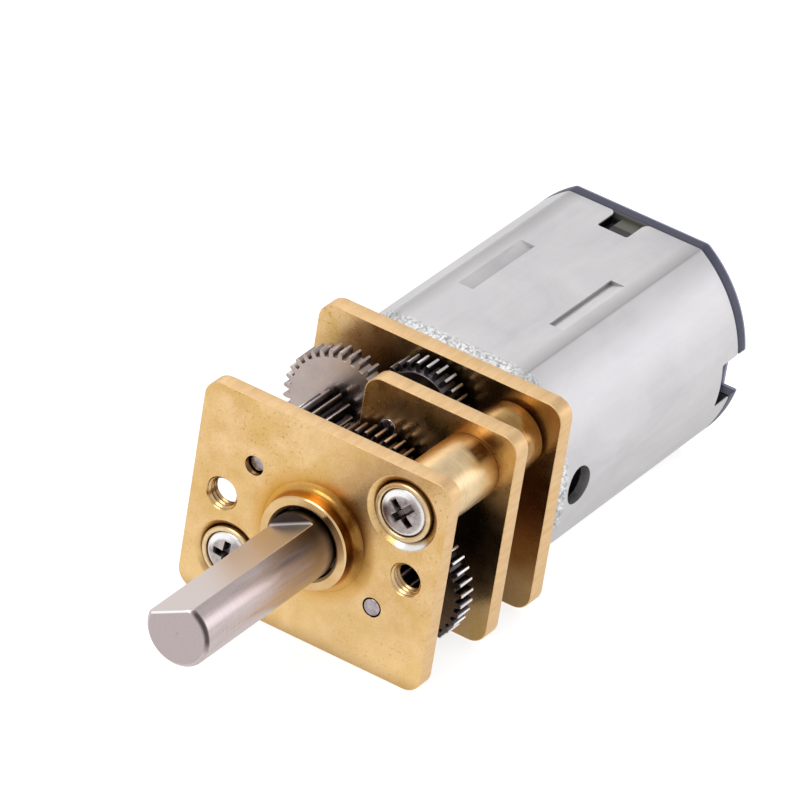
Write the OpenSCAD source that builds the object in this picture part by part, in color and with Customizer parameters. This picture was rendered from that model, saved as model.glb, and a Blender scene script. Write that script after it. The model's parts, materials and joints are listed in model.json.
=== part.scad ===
// Micro geared DC motor: a flatted twelve millimetre motor can behind an open
// brass gearbox of three plates, with a five-stage spur train on three centres
// and a D-shaped output shaft.
// X runs to the right, Y runs back from the front plate towards the motor, and
// Z runs up. The origin is on the output axis, in the front plate's front face.

/* [Envelope] */
// Width of the gearbox plates and of the motor can
body_w = 12; // [12:0.1:12.6]
// Height of the gearbox plates and of the motor can
body_h = 10; // [10:0.1:10.6]
// Length of the output shaft in front of the front plate
shaft_reach = 10; // [5:0.5:20]

/* [Gearbox plates] */
// Corner radius of the plates
plate_corner = 0.8; // [0.3:0.1:1.2]
// Thickness of the front plate
front_plate_t = 0.8; // [0.6:0.05:0.9]
// Thickness of the middle and rear plates
rear_plates_t = 0.9; // [0.8:0.05:1]
// Front face of the middle plate
mid_plate_y = 5.05; // [5.05:0.01:5.1]
// Front face of the rear plate
rear_plate_y = 8.5; // [8.45:0.05:8.6]
// Left edge of the middle plate where it is cut away for the upper pinion
mid_cut_x = -1.45; // [-1.6:0.05:-1.2]

/* [Fixings] */
// Distance between the two threaded mounting holes
mount_pitch = 9; // [8.8:0.1:9.2]
// Radius of the threaded mounting holes
mount_hole_r = 0.8; // [0.5:0.05:0.8]
// Place of the upper gearbox screw to the right of the shaft axis
upper_screw_x = 3.87; // [3.8:0.01:3.95]
// Place of the upper gearbox screw above the shaft axis
upper_screw_z = 2.94; // [2.85:0.01:3]
// Place of the lower gearbox screw to the left of the shaft axis
lower_screw_x = 3.85; // [3.85:0.05:4]
// Place of the lower gearbox screw below the shaft axis
lower_screw_z = 2.7; // [2.7:0.05:2.95]
// Size of the lower gearbox screw and its spacers against the upper ones
lower_size = 0.95; // [0.85:0.05:1]
// Radius of the upper gearbox screw's head
screw_head_r = 1.06; // [0.9:0.01:1.1]
// Radius of the upper front spacer
front_spacer_r = 1.45; // [1.4:0.05:1.5]
// Radius of the upper rear spacer
rear_spacer_r = 1.55; // [1.4:0.05:1.6]

/* [Output shaft] */
// Radius of the output shaft
shaft_r = 1.5; // [1.4:0.05:1.5]
// Distance from the shaft axis to its flat
flat_depth = 1; // [0.8:0.05:1.2]
// Direction that the flat faces, turned from +X towards +Z
flat_angle = 117; // [0:1:359]
// Radius of the bushing's nose
bushing_r = 2.1; // [2:0.05:2.15]
// Length of the bushing's nose
bushing_reach = 0.8; // [0.6:0.1:1]

/* [Gear train] */
// Gear module
tooth_m = 0.15; // [0.15]
// Pressure angle
pressure = 20; // [20]
// Thickness taken off each tooth to give backlash
backlash = 0.014; // [0.01:0.002:0.02]
// Profile shift that makes small pinions fatter and their wheels leaner
shift = 0.4; // [0.4]
// Teeth of the wheels that ten-tooth pinions drive on the shaft axis
axis_wheel_teeth = 40; // [40]
// Teeth of the wheels on the upper and lower pins
pin_wheel_teeth = 34; // [34]
// Teeth of the small pinions
pinion_teeth = 10; // [10]
// Teeth of the pinion of the middle cluster
idler_pinion_teeth = 16; // [16]
// Teeth of the first wheel, which the motor drives
first_wheel_teeth = 25; // [25]
// Teeth of the motor's pinion
motor_pinion_teeth = 15; // [15]
// Direction of the upper pin from the shaft axis, turned from +X towards +Z
upper_pin_angle = 148.6; // [148:0.1:149]

/* [Motor] */
// Length of the motor can
can_len = 14.55; // [14:0.05:16]
// Thickness of the can's sheet
can_t = 0.45; // [0.4:0.05:0.5]
// Length of the end cap's rim behind the can
cap_rim = 0.7; // [0.5:0.1:1]
// Radius of the motor shaft
motor_shaft_r = 0.5; // [0.5]
// Radius of the rotor over its poles
rotor_r = 3.7; // [3.5:0.05:3.75]

/* [Hidden] */
$fn = 64;

// Plates, from front to rear
half_w = body_w / 2;
half_h = body_h / 2;
mid_plate_end = mid_plate_y + rear_plates_t;
can_y = rear_plate_y + rear_plates_t;
can_end = can_y + can_len;
cap_end = can_end + cap_rim;

// Running clearance on pins and shafts, and the radii of the pins
run = 0.02;
pin_r = 0.38;
pin_bore = pin_r + run;
journal_r = 0.5;
journal_bore = journal_r + run;

// The pins' places: every mesh has the same centre distance except the first two
main_distance = tooth_m * (axis_wheel_teeth + pinion_teeth) / 2;
upper_distance = tooth_m * (pin_wheel_teeth + pinion_teeth) / 2;
first_distance = tooth_m * (first_wheel_teeth + motor_pinion_teeth) / 2;
upper_pin = main_distance * [cos(upper_pin_angle), sin(upper_pin_angle)];
lower_pin = -upper_pin;
// The first pin closes a triangle with the shaft axis and the upper pin
first_turn = acos(
    (main_distance * main_distance + first_distance * first_distance
        - upper_distance * upper_distance) / (2 * main_distance * first_distance)
);
first_pin_angle = upper_pin_angle - first_turn;
first_pin = first_distance * [cos(first_pin_angle), sin(first_pin_angle)];

// Spans of the gears along the shaft axis
output_wheel = [1.1, 2.4];
lower_teeth = [0.95, 2.62];
lower_wheel = [2.62, 3.5];
idler_teeth = [2.62, 3.93];
idler_wheel = [3.93, 4.79];
upper_teeth = [3.7, 6.18];
upper_wheel = [6.18, 7];
first_teeth = [6.1, 7.12];
first_wheel = [7.35, 8.2];
motor_teeth = [7.3, 8.3];
hub_r = 0.55;
idler_hub_r = 0.85;
first_shoulder_r = 1.62;
gear_seat_r = 1.25;

// Gearbox screws: a head let into the spacer's nose, and a shank into the rear plate.
// The upper and the lower one are [x, z, size]
screws = [[upper_screw_x, upper_screw_z, 1], [-lower_screw_x, -lower_screw_z, lower_size]];
shank_r = 0.5;
shank_bore = 0.55;
nose_r = 1.31;
dish_r = 1.55;
dish_depth = 0.12;
head_seat = 0.3;
head_top = 0.1;
head_gap = 0.04;

// Bushing and shaft
bushing_foot = 0.35;
bushing_seat_r = bushing_r + bushing_foot;
tip_chamfer = 0.2;
flat_start = -bushing_reach - 0.35;
// The shaft is ground a hair smaller where it runs in the bushing
shaft_step = flat_start - 0.05;
bearing_r = shaft_r - 0.01;
grease_groove = [-bushing_reach + 0.1, -bushing_reach + 0.7];
grease_groove_r = shaft_r - 0.2;
washer_y = [0.82, 1.06];

// Motor
motor_screw_x = 3.75;
motor_screw_r = 0.7;
motor_screw_head_r = 0.9;
can_bend = 0.7;
boss_r = 1.7;
side_hole_r = 0.87;
side_hole_y = can_y + 1.65;
side_hole_z = 0.2;
groove_x = 2.1;
groove_w = 0.5;
groove_depth = 0.22;
groove_span = [can_y + 4.5, can_y + 9.45];
notch_x = -0.2;
notch_w = 1.5;
notch_len = 1.6;
side_notch = [-1.2, 0.9];
side_notch_len = 1.3;
magnet_span = [can_y + 2.9, can_y + 10.6];
magnet_in_r = rotor_r + 0.3;
magnet_half_angle = 50;
stack_span = [can_y + 3.5, can_y + 9.9];
pole_w = 1.3;
pole_turns = [for (i = [0:2]) 90 + 120 * i];
coil_over = 0.7;
commutator_r = 1.3;
commutator_span = [can_y + 11, can_y + 12.6];
plug_len = 1.4;
cap_t = 1.1;
boss_len = 0.4;
terminal_x = 3.35;
terminal_w = 1.4;
terminal_t = 0.3;
terminal_reach = 1.7;
arm_t = 0.12;

// ---- Shared shapes ----

// A flat outline drawn as [x, z], made solid between two places along Y
module slab(span) {
    translate([0, span[1], 0]) rotate([90, 0, 0])
        linear_extrude(span[1] - span[0]) children();
}

// A round rod along Y
module rod(r, span, at = [0, 0]) {
    translate([at[0], span[1], at[1]]) rotate([90, 0, 0])
        cylinder(r = r, h = span[1] - span[0]);
}

// A solid turned about Y, from a profile drawn as [radius, y]
module turned(at = [0, 0]) {
    translate([at[0], 0, at[1]]) rotate([-90, 0, 0]) rotate_extrude() children();
}

// A rectangle with round corners
module round_rect(w, h, r) {
    square([w - 2 * r, h], center = true);
    square([w, h - 2 * r], center = true);
    for (sx = [-1, 1], sz = [-1, 1])
        translate([sx * (w / 2 - r), sz * (h / 2 - r)]) circle(r);
}

// Puts one copy at each gearbox screw, which the copy can measure with $size
module at_screws() {
    for (s = screws) {
        $size = s[2];
        translate([s[0], 0, s[1]]) children();
    }
}

// ---- Gears ----

function involute(a) = tan(a) * 180 / PI - a;
function base_r(z) = tooth_m * z / 2 * cos(pressure);
function tip_r(z, x) = tooth_m * (z / 2 + 1 + x);
function root_r(z, x) = tooth_m * (z / 2 - 1.25 + x);

// Half a tooth's thickness at radius r, as an angle about the gear's centre
function half_tooth(z, x, r) =
    let (
        thick = tooth_m * (PI / 2 + 2 * x * tan(pressure)) - backlash,
        at_pitch = thick / (tooth_m * z) * 180 / PI,
        slope = acos(min(1, base_r(z) / r))
    )
    at_pitch + involute(pressure) - involute(slope);

// One tooth as [x, z] points, from its left root to its right root
function tooth(z, x, middle) =
    let (
        low = max(base_r(z), root_r(z, x)),
        tip = tip_r(z, x),
        radii = [root_r(z, x), low, (low + 2 * tip) / 3, tip],
        angles = [for (r = radii) half_tooth(z, x, max(r, low))]
    )
    concat(
        [for (i = [0:3]) radii[i] * [cos(middle - angles[i]), sin(middle - angles[i])]],
        [for (i = [3:-1:0]) radii[i] * [cos(middle + angles[i]), sin(middle + angles[i])]]
    );

// The angle at which gear b must start to mesh with gear a, which lies towards b
// at the angle way and has a tooth at the angle start
function meshed(teeth_a, start, teeth_b, way) =
    way + 180 - (0.5 - teeth_a * (way - start) / 360) * 360 / teeth_b;

module gear_outline(z, x, start) {
    polygon([for (i = [0:z - 1]) each tooth(z, x, start + i * 360 / z)]);
}

// A toothed disc or length of pinion on the centre at
module toothed(z, x, start, span, at) {
    translate([at[0], 0, at[1]]) slab(span) gear_outline(z, x, start);
}

// Starting angles, passed down the train from the output wheel to the motor
upper_to_first = atan2(first_pin[1] - upper_pin[1], first_pin[0] - upper_pin[0]);
lower_start = meshed(axis_wheel_teeth, 0, pinion_teeth, upper_pin_angle + 180);
idler_start = meshed(pin_wheel_teeth, 0, idler_pinion_teeth, upper_pin_angle);
upper_start = meshed(axis_wheel_teeth, 0, pinion_teeth, upper_pin_angle);
first_start = meshed(pin_wheel_teeth, 0, pinion_teeth, upper_to_first);
motor_start = meshed(first_wheel_teeth, 0, motor_pinion_teeth, first_pin_angle + 180);

// ---- Gearbox frame ----

module front_plate() {
    color("goldenrod") difference() {
        slab([0, front_plate_t]) round_rect(body_w, body_h, plate_corner);
        rod(bushing_seat_r, [-1, 2]);
        for (s = [-1, 1]) rod(mount_hole_r, [-1, 2], [s * mount_pitch / 2, 0]);
        rod(pin_r, [-1, 2], upper_pin);
        rod(pin_r, [-1, 2], lower_pin);
        at_screws() {
            rod(nose_r * $size, [-1, 2]);
            rotate([-90, 0, 0])
                cylinder(r1 = dish_r * $size, r2 = nose_r * $size, h = dish_depth);
        }
    }
}

// The middle plate keeps its lower left corner for the screw that passes there
module middle_plate() {
    cut_left = half_w + 1;
    cut_floor = -0.9;
    color("goldenrod") difference() {
        slab([mid_plate_y, mid_plate_end]) difference() {
            round_rect(body_w, body_h, plate_corner);
            translate([-cut_left, cut_floor])
                square([cut_left + mid_cut_x, half_h - cut_floor - plate_corner]);
            translate([-cut_left, half_h - plate_corner])
                square([cut_left + mid_cut_x + plate_corner, plate_corner + 1]);
        }
        rod(journal_bore, [mid_plate_y - 1, mid_plate_end + 1]);
        rod(pin_r, [mid_plate_y - 1, mid_plate_end + 1], lower_pin);
        rod(pin_r, [mid_plate_y - 1, mid_plate_end + 1], first_pin);
        at_screws() rod(shank_bore, [mid_plate_y - 1, mid_plate_end + 1]);
    }
    color("goldenrod") slab([mid_plate_y, mid_plate_end])
        translate([mid_cut_x + plate_corner, half_h - plate_corner]) intersection() {
            circle(plate_corner);
            translate([-plate_corner, 0]) square(plate_corner);
        }
}

module rear_plate() {
    through = [rear_plate_y - 1, can_y + 1];
    color("goldenrod") difference() {
        slab([rear_plate_y, can_y]) round_rect(body_w, body_h, plate_corner);
        rod(boss_r + run, through);
        rod(pin_r, through, upper_pin);
        rod(pin_r, through, first_pin);
        at_screws() rod(shank_r, through);
        for (s = [-1, 1]) translate([s * motor_screw_x, rear_plate_y, 0]) rotate([-90, 0, 0]) {
            cylinder(r = motor_screw_r, h = 2);
            cylinder(r1 = motor_screw_head_r, r2 = motor_screw_r, h = 0.3);
        }
    }
}

module front_spacers() {
    color("gold") at_screws() difference() {
        union() {
            rod(front_spacer_r * $size, [front_plate_t, mid_plate_y]);
            rod(nose_r * $size, [0, front_plate_t + 0.1]);
        }
        rod(shank_bore, [-1, mid_plate_y + 1]);
        rod(screw_head_r * $size + head_gap, [-1, head_seat]);
    }
}

// The rear spacers have a wide chamfer against the rear plate
module rear_spacers() {
    chamfer = 0.22;
    color("gold") at_screws() turned() polygon([
        [shank_bore, mid_plate_end], [rear_spacer_r * $size, mid_plate_end],
        [rear_spacer_r * $size, rear_plate_y - chamfer],
        [rear_spacer_r * $size - chamfer, rear_plate_y], [shank_bore, rear_plate_y]
    ]);
}

module gearbox_screws() {
    dome_r = 5;
    slot_w = 0.34;
    slot_l = 1.4;
    color("silver") at_screws() difference() {
        union() {
            intersection() {
                rod(screw_head_r * $size, [-head_top, head_seat]);
                translate([0, dome_r - head_top, 0]) sphere(dome_r);
            }
            rod(shank_r, [head_seat - 0.1, can_y - 0.15]);
        }
        for (turn = [42, 132]) rotate([0, turn, 0])
            translate([-slot_l * $size / 2, -1, -slot_w * $size / 2])
                cube([slot_l * $size, 1.15, slot_w * $size]);
    }
}

module motor_screws() {
    slot_w = 0.3;
    color("silver") for (s = [-1, 1]) translate([s * motor_screw_x, rear_plate_y, 0])
        difference() {
            rotate([-90, 0, 0]) {
                cylinder(r1 = motor_screw_head_r, r2 = motor_screw_r, h = 0.3);
                cylinder(r = motor_screw_r, h = rear_plates_t + can_t + 0.3);
            }
            translate([-1.2, -1, -slot_w / 2]) cube([2.4, 1.2, slot_w]);
        }
}

module upper_pin_axle() {
    color("silver") rod(pin_r, [0.12, can_y - 0.1], upper_pin);
}

module lower_pin_axle() {
    color("silver") rod(pin_r, [0, mid_plate_end - 0.05], lower_pin);
}

module first_pin_axle() {
    color("silver") rod(pin_r, [mid_plate_y - 0.08, can_y - 0.1], first_pin);
}

// The bushing's nose flares into a foot that is pressed into the front plate
module output_bushing() {
    color("gold") turned() difference() {
        union() {
            translate([shaft_r + run, -bushing_reach])
                square([bushing_r - shaft_r - run, bushing_reach + front_plate_t]);
            translate([shaft_r + run, -bushing_foot])
                square([bushing_seat_r - shaft_r - run, bushing_foot + front_plate_t]);
        }
        translate([bushing_seat_r, -bushing_foot]) circle(bushing_foot);
    }
}

module thrust_washer() {
    color("silver") turned() translate([shaft_r + run, washer_y[0]])
        square([0.75, washer_y[1] - washer_y[0]]);
}

// ---- Gear train ----

module output_shaft() {
    tip = -shaft_reach;
    color("lightgray") difference() {
        turned() polygon([
            [0, tip + 0.1], [0.15, tip], [shaft_r - tip_chamfer, tip],
            [shaft_r, tip + tip_chamfer], [shaft_r, shaft_step],
            [bearing_r, shaft_step], [bearing_r, grease_groove[0]],
            [grease_groove_r, grease_groove[0]], [grease_groove_r, grease_groove[1]],
            [bearing_r, grease_groove[1]],
            [bearing_r, output_wheel[0]], [gear_seat_r, output_wheel[0]],
            [gear_seat_r, output_wheel[1]], [journal_r, output_wheel[1]],
            [journal_r, mid_plate_end - 0.05], [0, mid_plate_end - 0.05]
        ]);
        rotate([0, -flat_angle, 0]) translate([flat_depth, tip - 1, -2])
            cube([2, flat_start - tip + 1, 4]);
    }
}

module output_wheel_gear() {
    color("dimgray") difference() {
        toothed(axis_wheel_teeth, -shift, 0, output_wheel, [0, 0]);
        rod(gear_seat_r, [0, 4]);
    }
}

// A pinion with a smooth neck that its wheel is pressed on
module cluster_pinion(z, x, start, at, teeth_span, neck_span, neck_r, bore_r) {
    difference() {
        union() {
            toothed(z, x, start, teeth_span, at);
            rod(neck_r, neck_span, at);
        }
        rod(bore_r, [-1, can_y], at);
    }
}

// A wheel with the bore that its pinion's neck fills
module cluster_wheel(z, x, at, span, neck_r) {
    difference() {
        toothed(z, x, 0, span, at);
        rod(neck_r, [span[0] - 1, span[1] + 1], at);
    }
}

module lower_pinion() {
    color("dimgray") cluster_pinion(pinion_teeth, shift, lower_start, lower_pin,
        lower_teeth, [lower_teeth[0], mid_plate_y - 0.05], hub_r, pin_bore);
}

module lower_wheel_gear() {
    color("dimgray") cluster_wheel(pin_wheel_teeth, 0, lower_pin, lower_wheel, hub_r);
}

module idler_pinion() {
    color("dimgray") cluster_pinion(idler_pinion_teeth, 0, idler_start, [0, 0],
        idler_teeth, [idler_teeth[0], mid_plate_y - 0.05], idler_hub_r, journal_bore);
}

module idler_wheel_gear() {
    color("dimgray") cluster_wheel(axis_wheel_teeth, -shift, [0, 0], idler_wheel, idler_hub_r);
}

module upper_pinion() {
    color("dimgray") cluster_pinion(pinion_teeth, shift, upper_start, upper_pin,
        upper_teeth, [front_plate_t + 0.05, rear_plate_y - 0.05], hub_r, pin_bore);
}

module upper_wheel_gear() {
    color("gray") cluster_wheel(pin_wheel_teeth, -shift, upper_pin, upper_wheel, hub_r);
}

module first_pinion() {
    color("dimgray") cluster_pinion(pinion_teeth, shift, first_start, first_pin,
        first_teeth, [first_teeth[0], rear_plate_y - 0.05], hub_r, pin_bore);
}

// The first wheel has a shoulder in front of its teeth
module first_wheel_gear() {
    color("dimgray") difference() {
        union() {
            toothed(first_wheel_teeth, -shift, 0, first_wheel, first_pin);
            rod(first_shoulder_r, [first_teeth[1], first_wheel[1]], first_pin);
        }
        rod(hub_r, [first_teeth[1] - 1, first_wheel[1] + 1], first_pin);
    }
}

module motor_pinion() {
    color("gold") difference() {
        toothed(motor_pinion_teeth, shift, motor_start, motor_teeth, [0, 0]);
        rod(motor_shaft_r, [motor_teeth[0] - 1, motor_teeth[1] + 1]);
    }
}

// ---- Motor ----

// The can's outline: a round tube cut by two flats, with a bent front edge
module can_form(inset, span, bend) {
    r = half_w - inset;
    h = half_h - inset;
    intersection() {
        turned() union() {
            translate([0, span[0]]) square([r - bend, span[1] - span[0]]);
            translate([0, span[0] + bend]) square([r, span[1] - span[0] - bend]);
            translate([r - bend, span[0] + bend]) circle(bend);
        }
        rotate([90, 0, 90]) translate([0, 0, -half_w - 1]) linear_extrude(body_w + 2) {
            translate([span[0], bend - h]) square([span[1] - span[0], 2 * (h - bend)]);
            translate([span[0] + bend, -h]) square([span[1] - span[0] - bend, 2 * h]);
            for (s = [-1, 1]) translate([span[0] + bend, s * (h - bend)]) circle(bend);
        }
    }
}

// A plain length of that outline, with square edges
module flatted_rod(inset, span) {
    h = half_h - inset;
    intersection() {
        rod(half_w - inset, span);
        translate([-half_w - 1, span[0] - 1, -h]) cube([body_w + 2, span[1] - span[0] + 2, 2 * h]);
    }
}

module motor_can() {
    color("gainsboro") difference() {
        can_form(0, [can_y, can_end], can_bend);
        can_form(can_t, [can_y + can_t, can_end + 1], can_bend - can_t);
        rod(boss_r, [can_y - 1, can_y + 1]);
        for (s = [-1, 1]) rod(motor_screw_r, [can_y - 1, can_y + 1], [s * motor_screw_x, 0]);
        translate([-half_w - 1, side_hole_y, side_hole_z]) rotate([0, 90, 0])
            cylinder(r = side_hole_r, h = body_w + 2);
        translate([notch_x - notch_w / 2, can_end - notch_len, -half_h - 1])
            cube([notch_w, notch_len + 1, body_h + 2]);
        translate([-half_w - 1, can_end - side_notch_len, side_notch[0]])
            cube([body_w + 2, side_notch_len + 1, side_notch[1] - side_notch[0]]);
        for (sx = [-1, 1], sz = [-1, 1])
            translate([sx * groove_x, groove_span[0], sz * (half_h + groove_w / 2 - groove_depth)])
                rotate([-90, 0, 0]) cylinder(r = groove_w / 2, h = groove_span[1] - groove_span[0]);
    }
}

module front_bearing() {
    color("peru") difference() {
        union() {
            rod(boss_r, [rear_plate_y + 0.05, can_y + can_t]);
            rod(boss_r + 0.5, [can_y + can_t, can_y + can_t + 0.5]);
        }
        rod(motor_shaft_r + run, [can_y - 3, can_y + 3]);
    }
}

module magnets() {
    out_r = half_w - can_t - 0.01;
    color("dimgray") for (side = [0, 180]) rotate([0, side, 0]) slab(magnet_span)
        difference() {
            intersection() {
                circle(out_r);
                polygon([
                    [0, 0], 9 * [cos(magnet_half_angle), -sin(magnet_half_angle)],
                    9 * [cos(magnet_half_angle), sin(magnet_half_angle)]
                ]);
            }
            circle(magnet_in_r);
        }
}

// The cap's plug fills the can's mouth, and its keys fill the top and bottom notches
module end_cap() {
    fit = 0.02;
    key_drop = 0.25;
    slot = 0.01;
    color("#2b2d3a") difference() {
        union() {
            flatted_rod(0, [can_end, cap_end]);
            flatted_rod(can_t + fit, [can_end - plug_len, can_end + 0.1]);
            translate([notch_x - notch_w / 2 + fit, can_end - notch_len + fit, key_drop - half_h])
                cube([notch_w - 2 * fit, notch_len, body_h - 2 * key_drop]);
            rod(2, [can_end, cap_end + boss_len]);
        }
        flatted_rod(can_t + 0.7, [can_end - plug_len - 1, cap_end - cap_t]);
        translate([-notch_w, can_end - notch_len - 1, 1.2 - half_h])
            cube([2 * notch_w, cap_end - cap_t - can_end + notch_len + 1, body_h - 2.4]);
        rod(1, [can_end - 2, cap_end + boss_len - 0.2]);
        rod(motor_shaft_r + 0.1, [can_end - 2, cap_end + boss_len + 1]);
        for (s = [-1, 1]) {
            translate([s * half_w - 0.8, can_end - plug_len - 1, side_notch[0]])
                cube([1.6, plug_len + cap_rim + 2, side_notch[1] - side_notch[0]]);
            translate([s * terminal_x - terminal_t / 2 - slot, cap_end - cap_t - 1,
                -terminal_w / 2 - slot])
                cube([terminal_t + 2 * slot, cap_t + 2, terminal_w + 2 * slot]);
        }
    }
}

module rear_bearing() {
    color("peru") difference() {
        rod(1, [cap_end - cap_t, cap_end + boss_len - 0.2]);
        rod(motor_shaft_r + run, [can_end - 2, cap_end + 2]);
    }
}

module terminals() {
    inner = cap_end - cap_t - 0.6;
    color("goldenrod") for (s = [-1, 1]) translate([s * terminal_x, 0, 0]) difference() {
        translate([-terminal_t / 2, inner, -terminal_w / 2])
            cube([terminal_t, cap_end + terminal_reach - inner, terminal_w]);
        translate([-1, cap_end + terminal_reach - 0.75, 0]) rotate([0, 90, 0])
            cylinder(r = 0.35, h = 2);
    }
}

// Each sprung arm bears on one side of the commutator and meets its terminal
module brush_arms() {
    near = commutator_r + 0.02;
    back = cap_end - cap_t - 0.6;
    tail = 0.25;
    color("orange") for (side = [0, 180]) rotate([0, side, 0]) {
        translate([near, commutator_span[0] + 0.35, -1.6])
            cube([arm_t, back - commutator_span[0] - 0.35, 3]);
        translate([near, back - arm_t, -terminal_w / 2])
            cube([terminal_x - near + tail, arm_t, terminal_w]);
    }
}

// ---- Rotor ----

module rotor_shaft() {
    color("silver") rod(motor_shaft_r, [motor_teeth[0], cap_end + boss_len - 0.3]);
}

module lamination_stack() {
    shoe_half = 48;
    core_r = 1.3;
    color("slategray") slab(stack_span) difference() {
        union() {
            circle(core_r);
            for (a = pole_turns) rotate(a) {
                translate([0, -pole_w / 2]) square([rotor_r - 0.4, pole_w]);
                intersection() {
                    difference() {
                        circle(rotor_r);
                        circle(rotor_r - 0.6);
                    }
                    polygon([
                        [0, 0], 6 * [cos(shoe_half), -sin(shoe_half)],
                        6 * [cos(shoe_half), sin(shoe_half)]
                    ]);
                }
            }
        }
        circle(motor_shaft_r);
    }
}

module windings() {
    gap = 0.02;
    inner = 1.5;
    outer = rotor_r - 0.95;
    coil_w = 2.9;
    span = [stack_span[0] - coil_over, stack_span[1] + coil_over];
    color("chocolate") for (a = pole_turns) rotate([0, -a, 0]) difference() {
        translate([inner, span[0], -coil_w / 2])
            cube([outer - inner, span[1] - span[0], coil_w]);
        translate([0, stack_span[0] - gap, -pole_w / 2 - gap])
            cube([rotor_r, stack_span[1] - stack_span[0] + 2 * gap, pole_w + 2 * gap]);
    }
}

module commutator_hub() {
    color("maroon") difference() {
        union() {
            rod(commutator_r - 0.25, commutator_span);
            rod(commutator_r + 0.4, [stack_span[1] + coil_over + 0.05, commutator_span[0]]);
        }
        rod(motor_shaft_r, [can_y, cap_end]);
    }
}

module commutator_segments() {
    segment_half = 56;
    color("orange") for (a = pole_turns) rotate([0, -a, 0]) slab(commutator_span)
        difference() {
            intersection() {
                circle(commutator_r);
                polygon([
                    [0, 0], 5 * [cos(segment_half), -sin(segment_half)], [5, 0],
                    5 * [cos(segment_half), sin(segment_half)]
                ]);
            }
            circle(commutator_r - 0.25);
        }
}

module rotor_washers() {
    color("ivory") for (y = [can_y + can_t + 0.55, cap_end - cap_t - 0.3]) difference() {
        rod(1, [y, y + 0.2]);
        rod(motor_shaft_r, [y - 1, y + 1]);
    }
}

// ---- Assembly ----

front_plate();
middle_plate();
rear_plate();
front_spacers();
rear_spacers();
gearbox_screws();
motor_screws();
upper_pin_axle();
lower_pin_axle();
first_pin_axle();
output_bushing();
thrust_washer();
output_shaft();
output_wheel_gear();
lower_wheel_gear();
lower_pinion();
idler_wheel_gear();
idler_pinion();
upper_wheel_gear();
upper_pinion();
first_wheel_gear();
first_pinion();
motor_pinion();
motor_can();
front_bearing();
magnets();
end_cap();
rear_bearing();
terminals();
brush_arms();
rotor_shaft();
lamination_stack();
windings();
commutator_hub();
commutator_segments();
rotor_washers();
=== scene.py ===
"""Looks for the geared DC motor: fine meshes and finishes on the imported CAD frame.

Lengths are millimetres in the CAD's own frame until a piece is finished, which
scales it to metres. X runs right, Y runs back towards the motor, Z runs up.
"""
import json
import math

import bpy
import bmesh
from mathutils import Matrix, Vector
from mathutils.geometry import tessellate_polygon

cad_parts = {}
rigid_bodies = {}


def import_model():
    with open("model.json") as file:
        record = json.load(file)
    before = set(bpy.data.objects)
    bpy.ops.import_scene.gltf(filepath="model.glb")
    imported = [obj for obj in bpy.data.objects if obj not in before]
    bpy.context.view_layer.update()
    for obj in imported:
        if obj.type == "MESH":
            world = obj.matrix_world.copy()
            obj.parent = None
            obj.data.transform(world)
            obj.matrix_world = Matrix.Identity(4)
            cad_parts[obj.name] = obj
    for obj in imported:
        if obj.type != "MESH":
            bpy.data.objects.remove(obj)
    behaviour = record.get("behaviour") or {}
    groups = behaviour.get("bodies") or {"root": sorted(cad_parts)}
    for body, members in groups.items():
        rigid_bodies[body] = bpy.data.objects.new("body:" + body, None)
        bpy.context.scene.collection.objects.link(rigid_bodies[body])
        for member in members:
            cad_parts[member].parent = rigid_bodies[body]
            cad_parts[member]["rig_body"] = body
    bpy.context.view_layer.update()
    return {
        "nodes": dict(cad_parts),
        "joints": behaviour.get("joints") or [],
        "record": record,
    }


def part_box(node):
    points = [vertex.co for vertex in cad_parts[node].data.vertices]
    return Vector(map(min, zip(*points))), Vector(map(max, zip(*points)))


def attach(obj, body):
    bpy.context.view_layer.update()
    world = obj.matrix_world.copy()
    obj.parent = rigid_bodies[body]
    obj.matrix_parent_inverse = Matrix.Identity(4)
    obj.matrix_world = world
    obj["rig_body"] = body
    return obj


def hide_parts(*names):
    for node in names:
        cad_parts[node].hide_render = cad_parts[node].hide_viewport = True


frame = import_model()

MM = 0.001
TAU = 2 * math.pi

# ---------------------------------------------------------------- the frame

def box_mm(node):
    """A CAD node's lowest and highest corners, in millimetres."""
    low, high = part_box(node)
    return [v / MM for v in low], [v / MM for v in high]


def span(node):
    """Where a CAD node starts and ends along Y, in millimetres."""
    low, high = box_mm(node)
    return low[1], high[1]


def joint_centre(name):
    """A joint's axis as x and z, in millimetres."""
    joint = next(j for j in frame["joints"] if j["name"] == name)
    return joint["pos_m"][0] / MM, joint["pos_m"][2] / MM


def mount_dims(name):
    """A mount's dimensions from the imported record."""
    return next(m for m in frame["record"]["mounts"] if m["name"] == name)["dims"]


# Centres, from the joints
AXIS = (0.0, 0.0)
UPPER = joint_centre("upper_cluster_spin")
LOWER = joint_centre("lower_cluster_spin")
FIRST = joint_centre("first_cluster_spin")

# Plates and what is let into them
PLATE_HIGH = box_mm("front_plate")[1]
HALF_W, HALF_H = PLATE_HIGH[0], PLATE_HIGH[2]
CORNER_R = 0.8
PLATE_EDGE = 0.045
NOSE_R = mount_dims("pilot_nose")["r_mm"]
FOOT_R = 0.35
HOLE_R = mount_dims("face_holes")["hole_r_mm"]
HOLE_X = mount_dims("face_holes")["spacing_x_mm"] / 2
THREAD_RELIEF = 0.08
PIN_R = box_mm("upper_pin_axle")[1][0] - UPPER[0]

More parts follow.
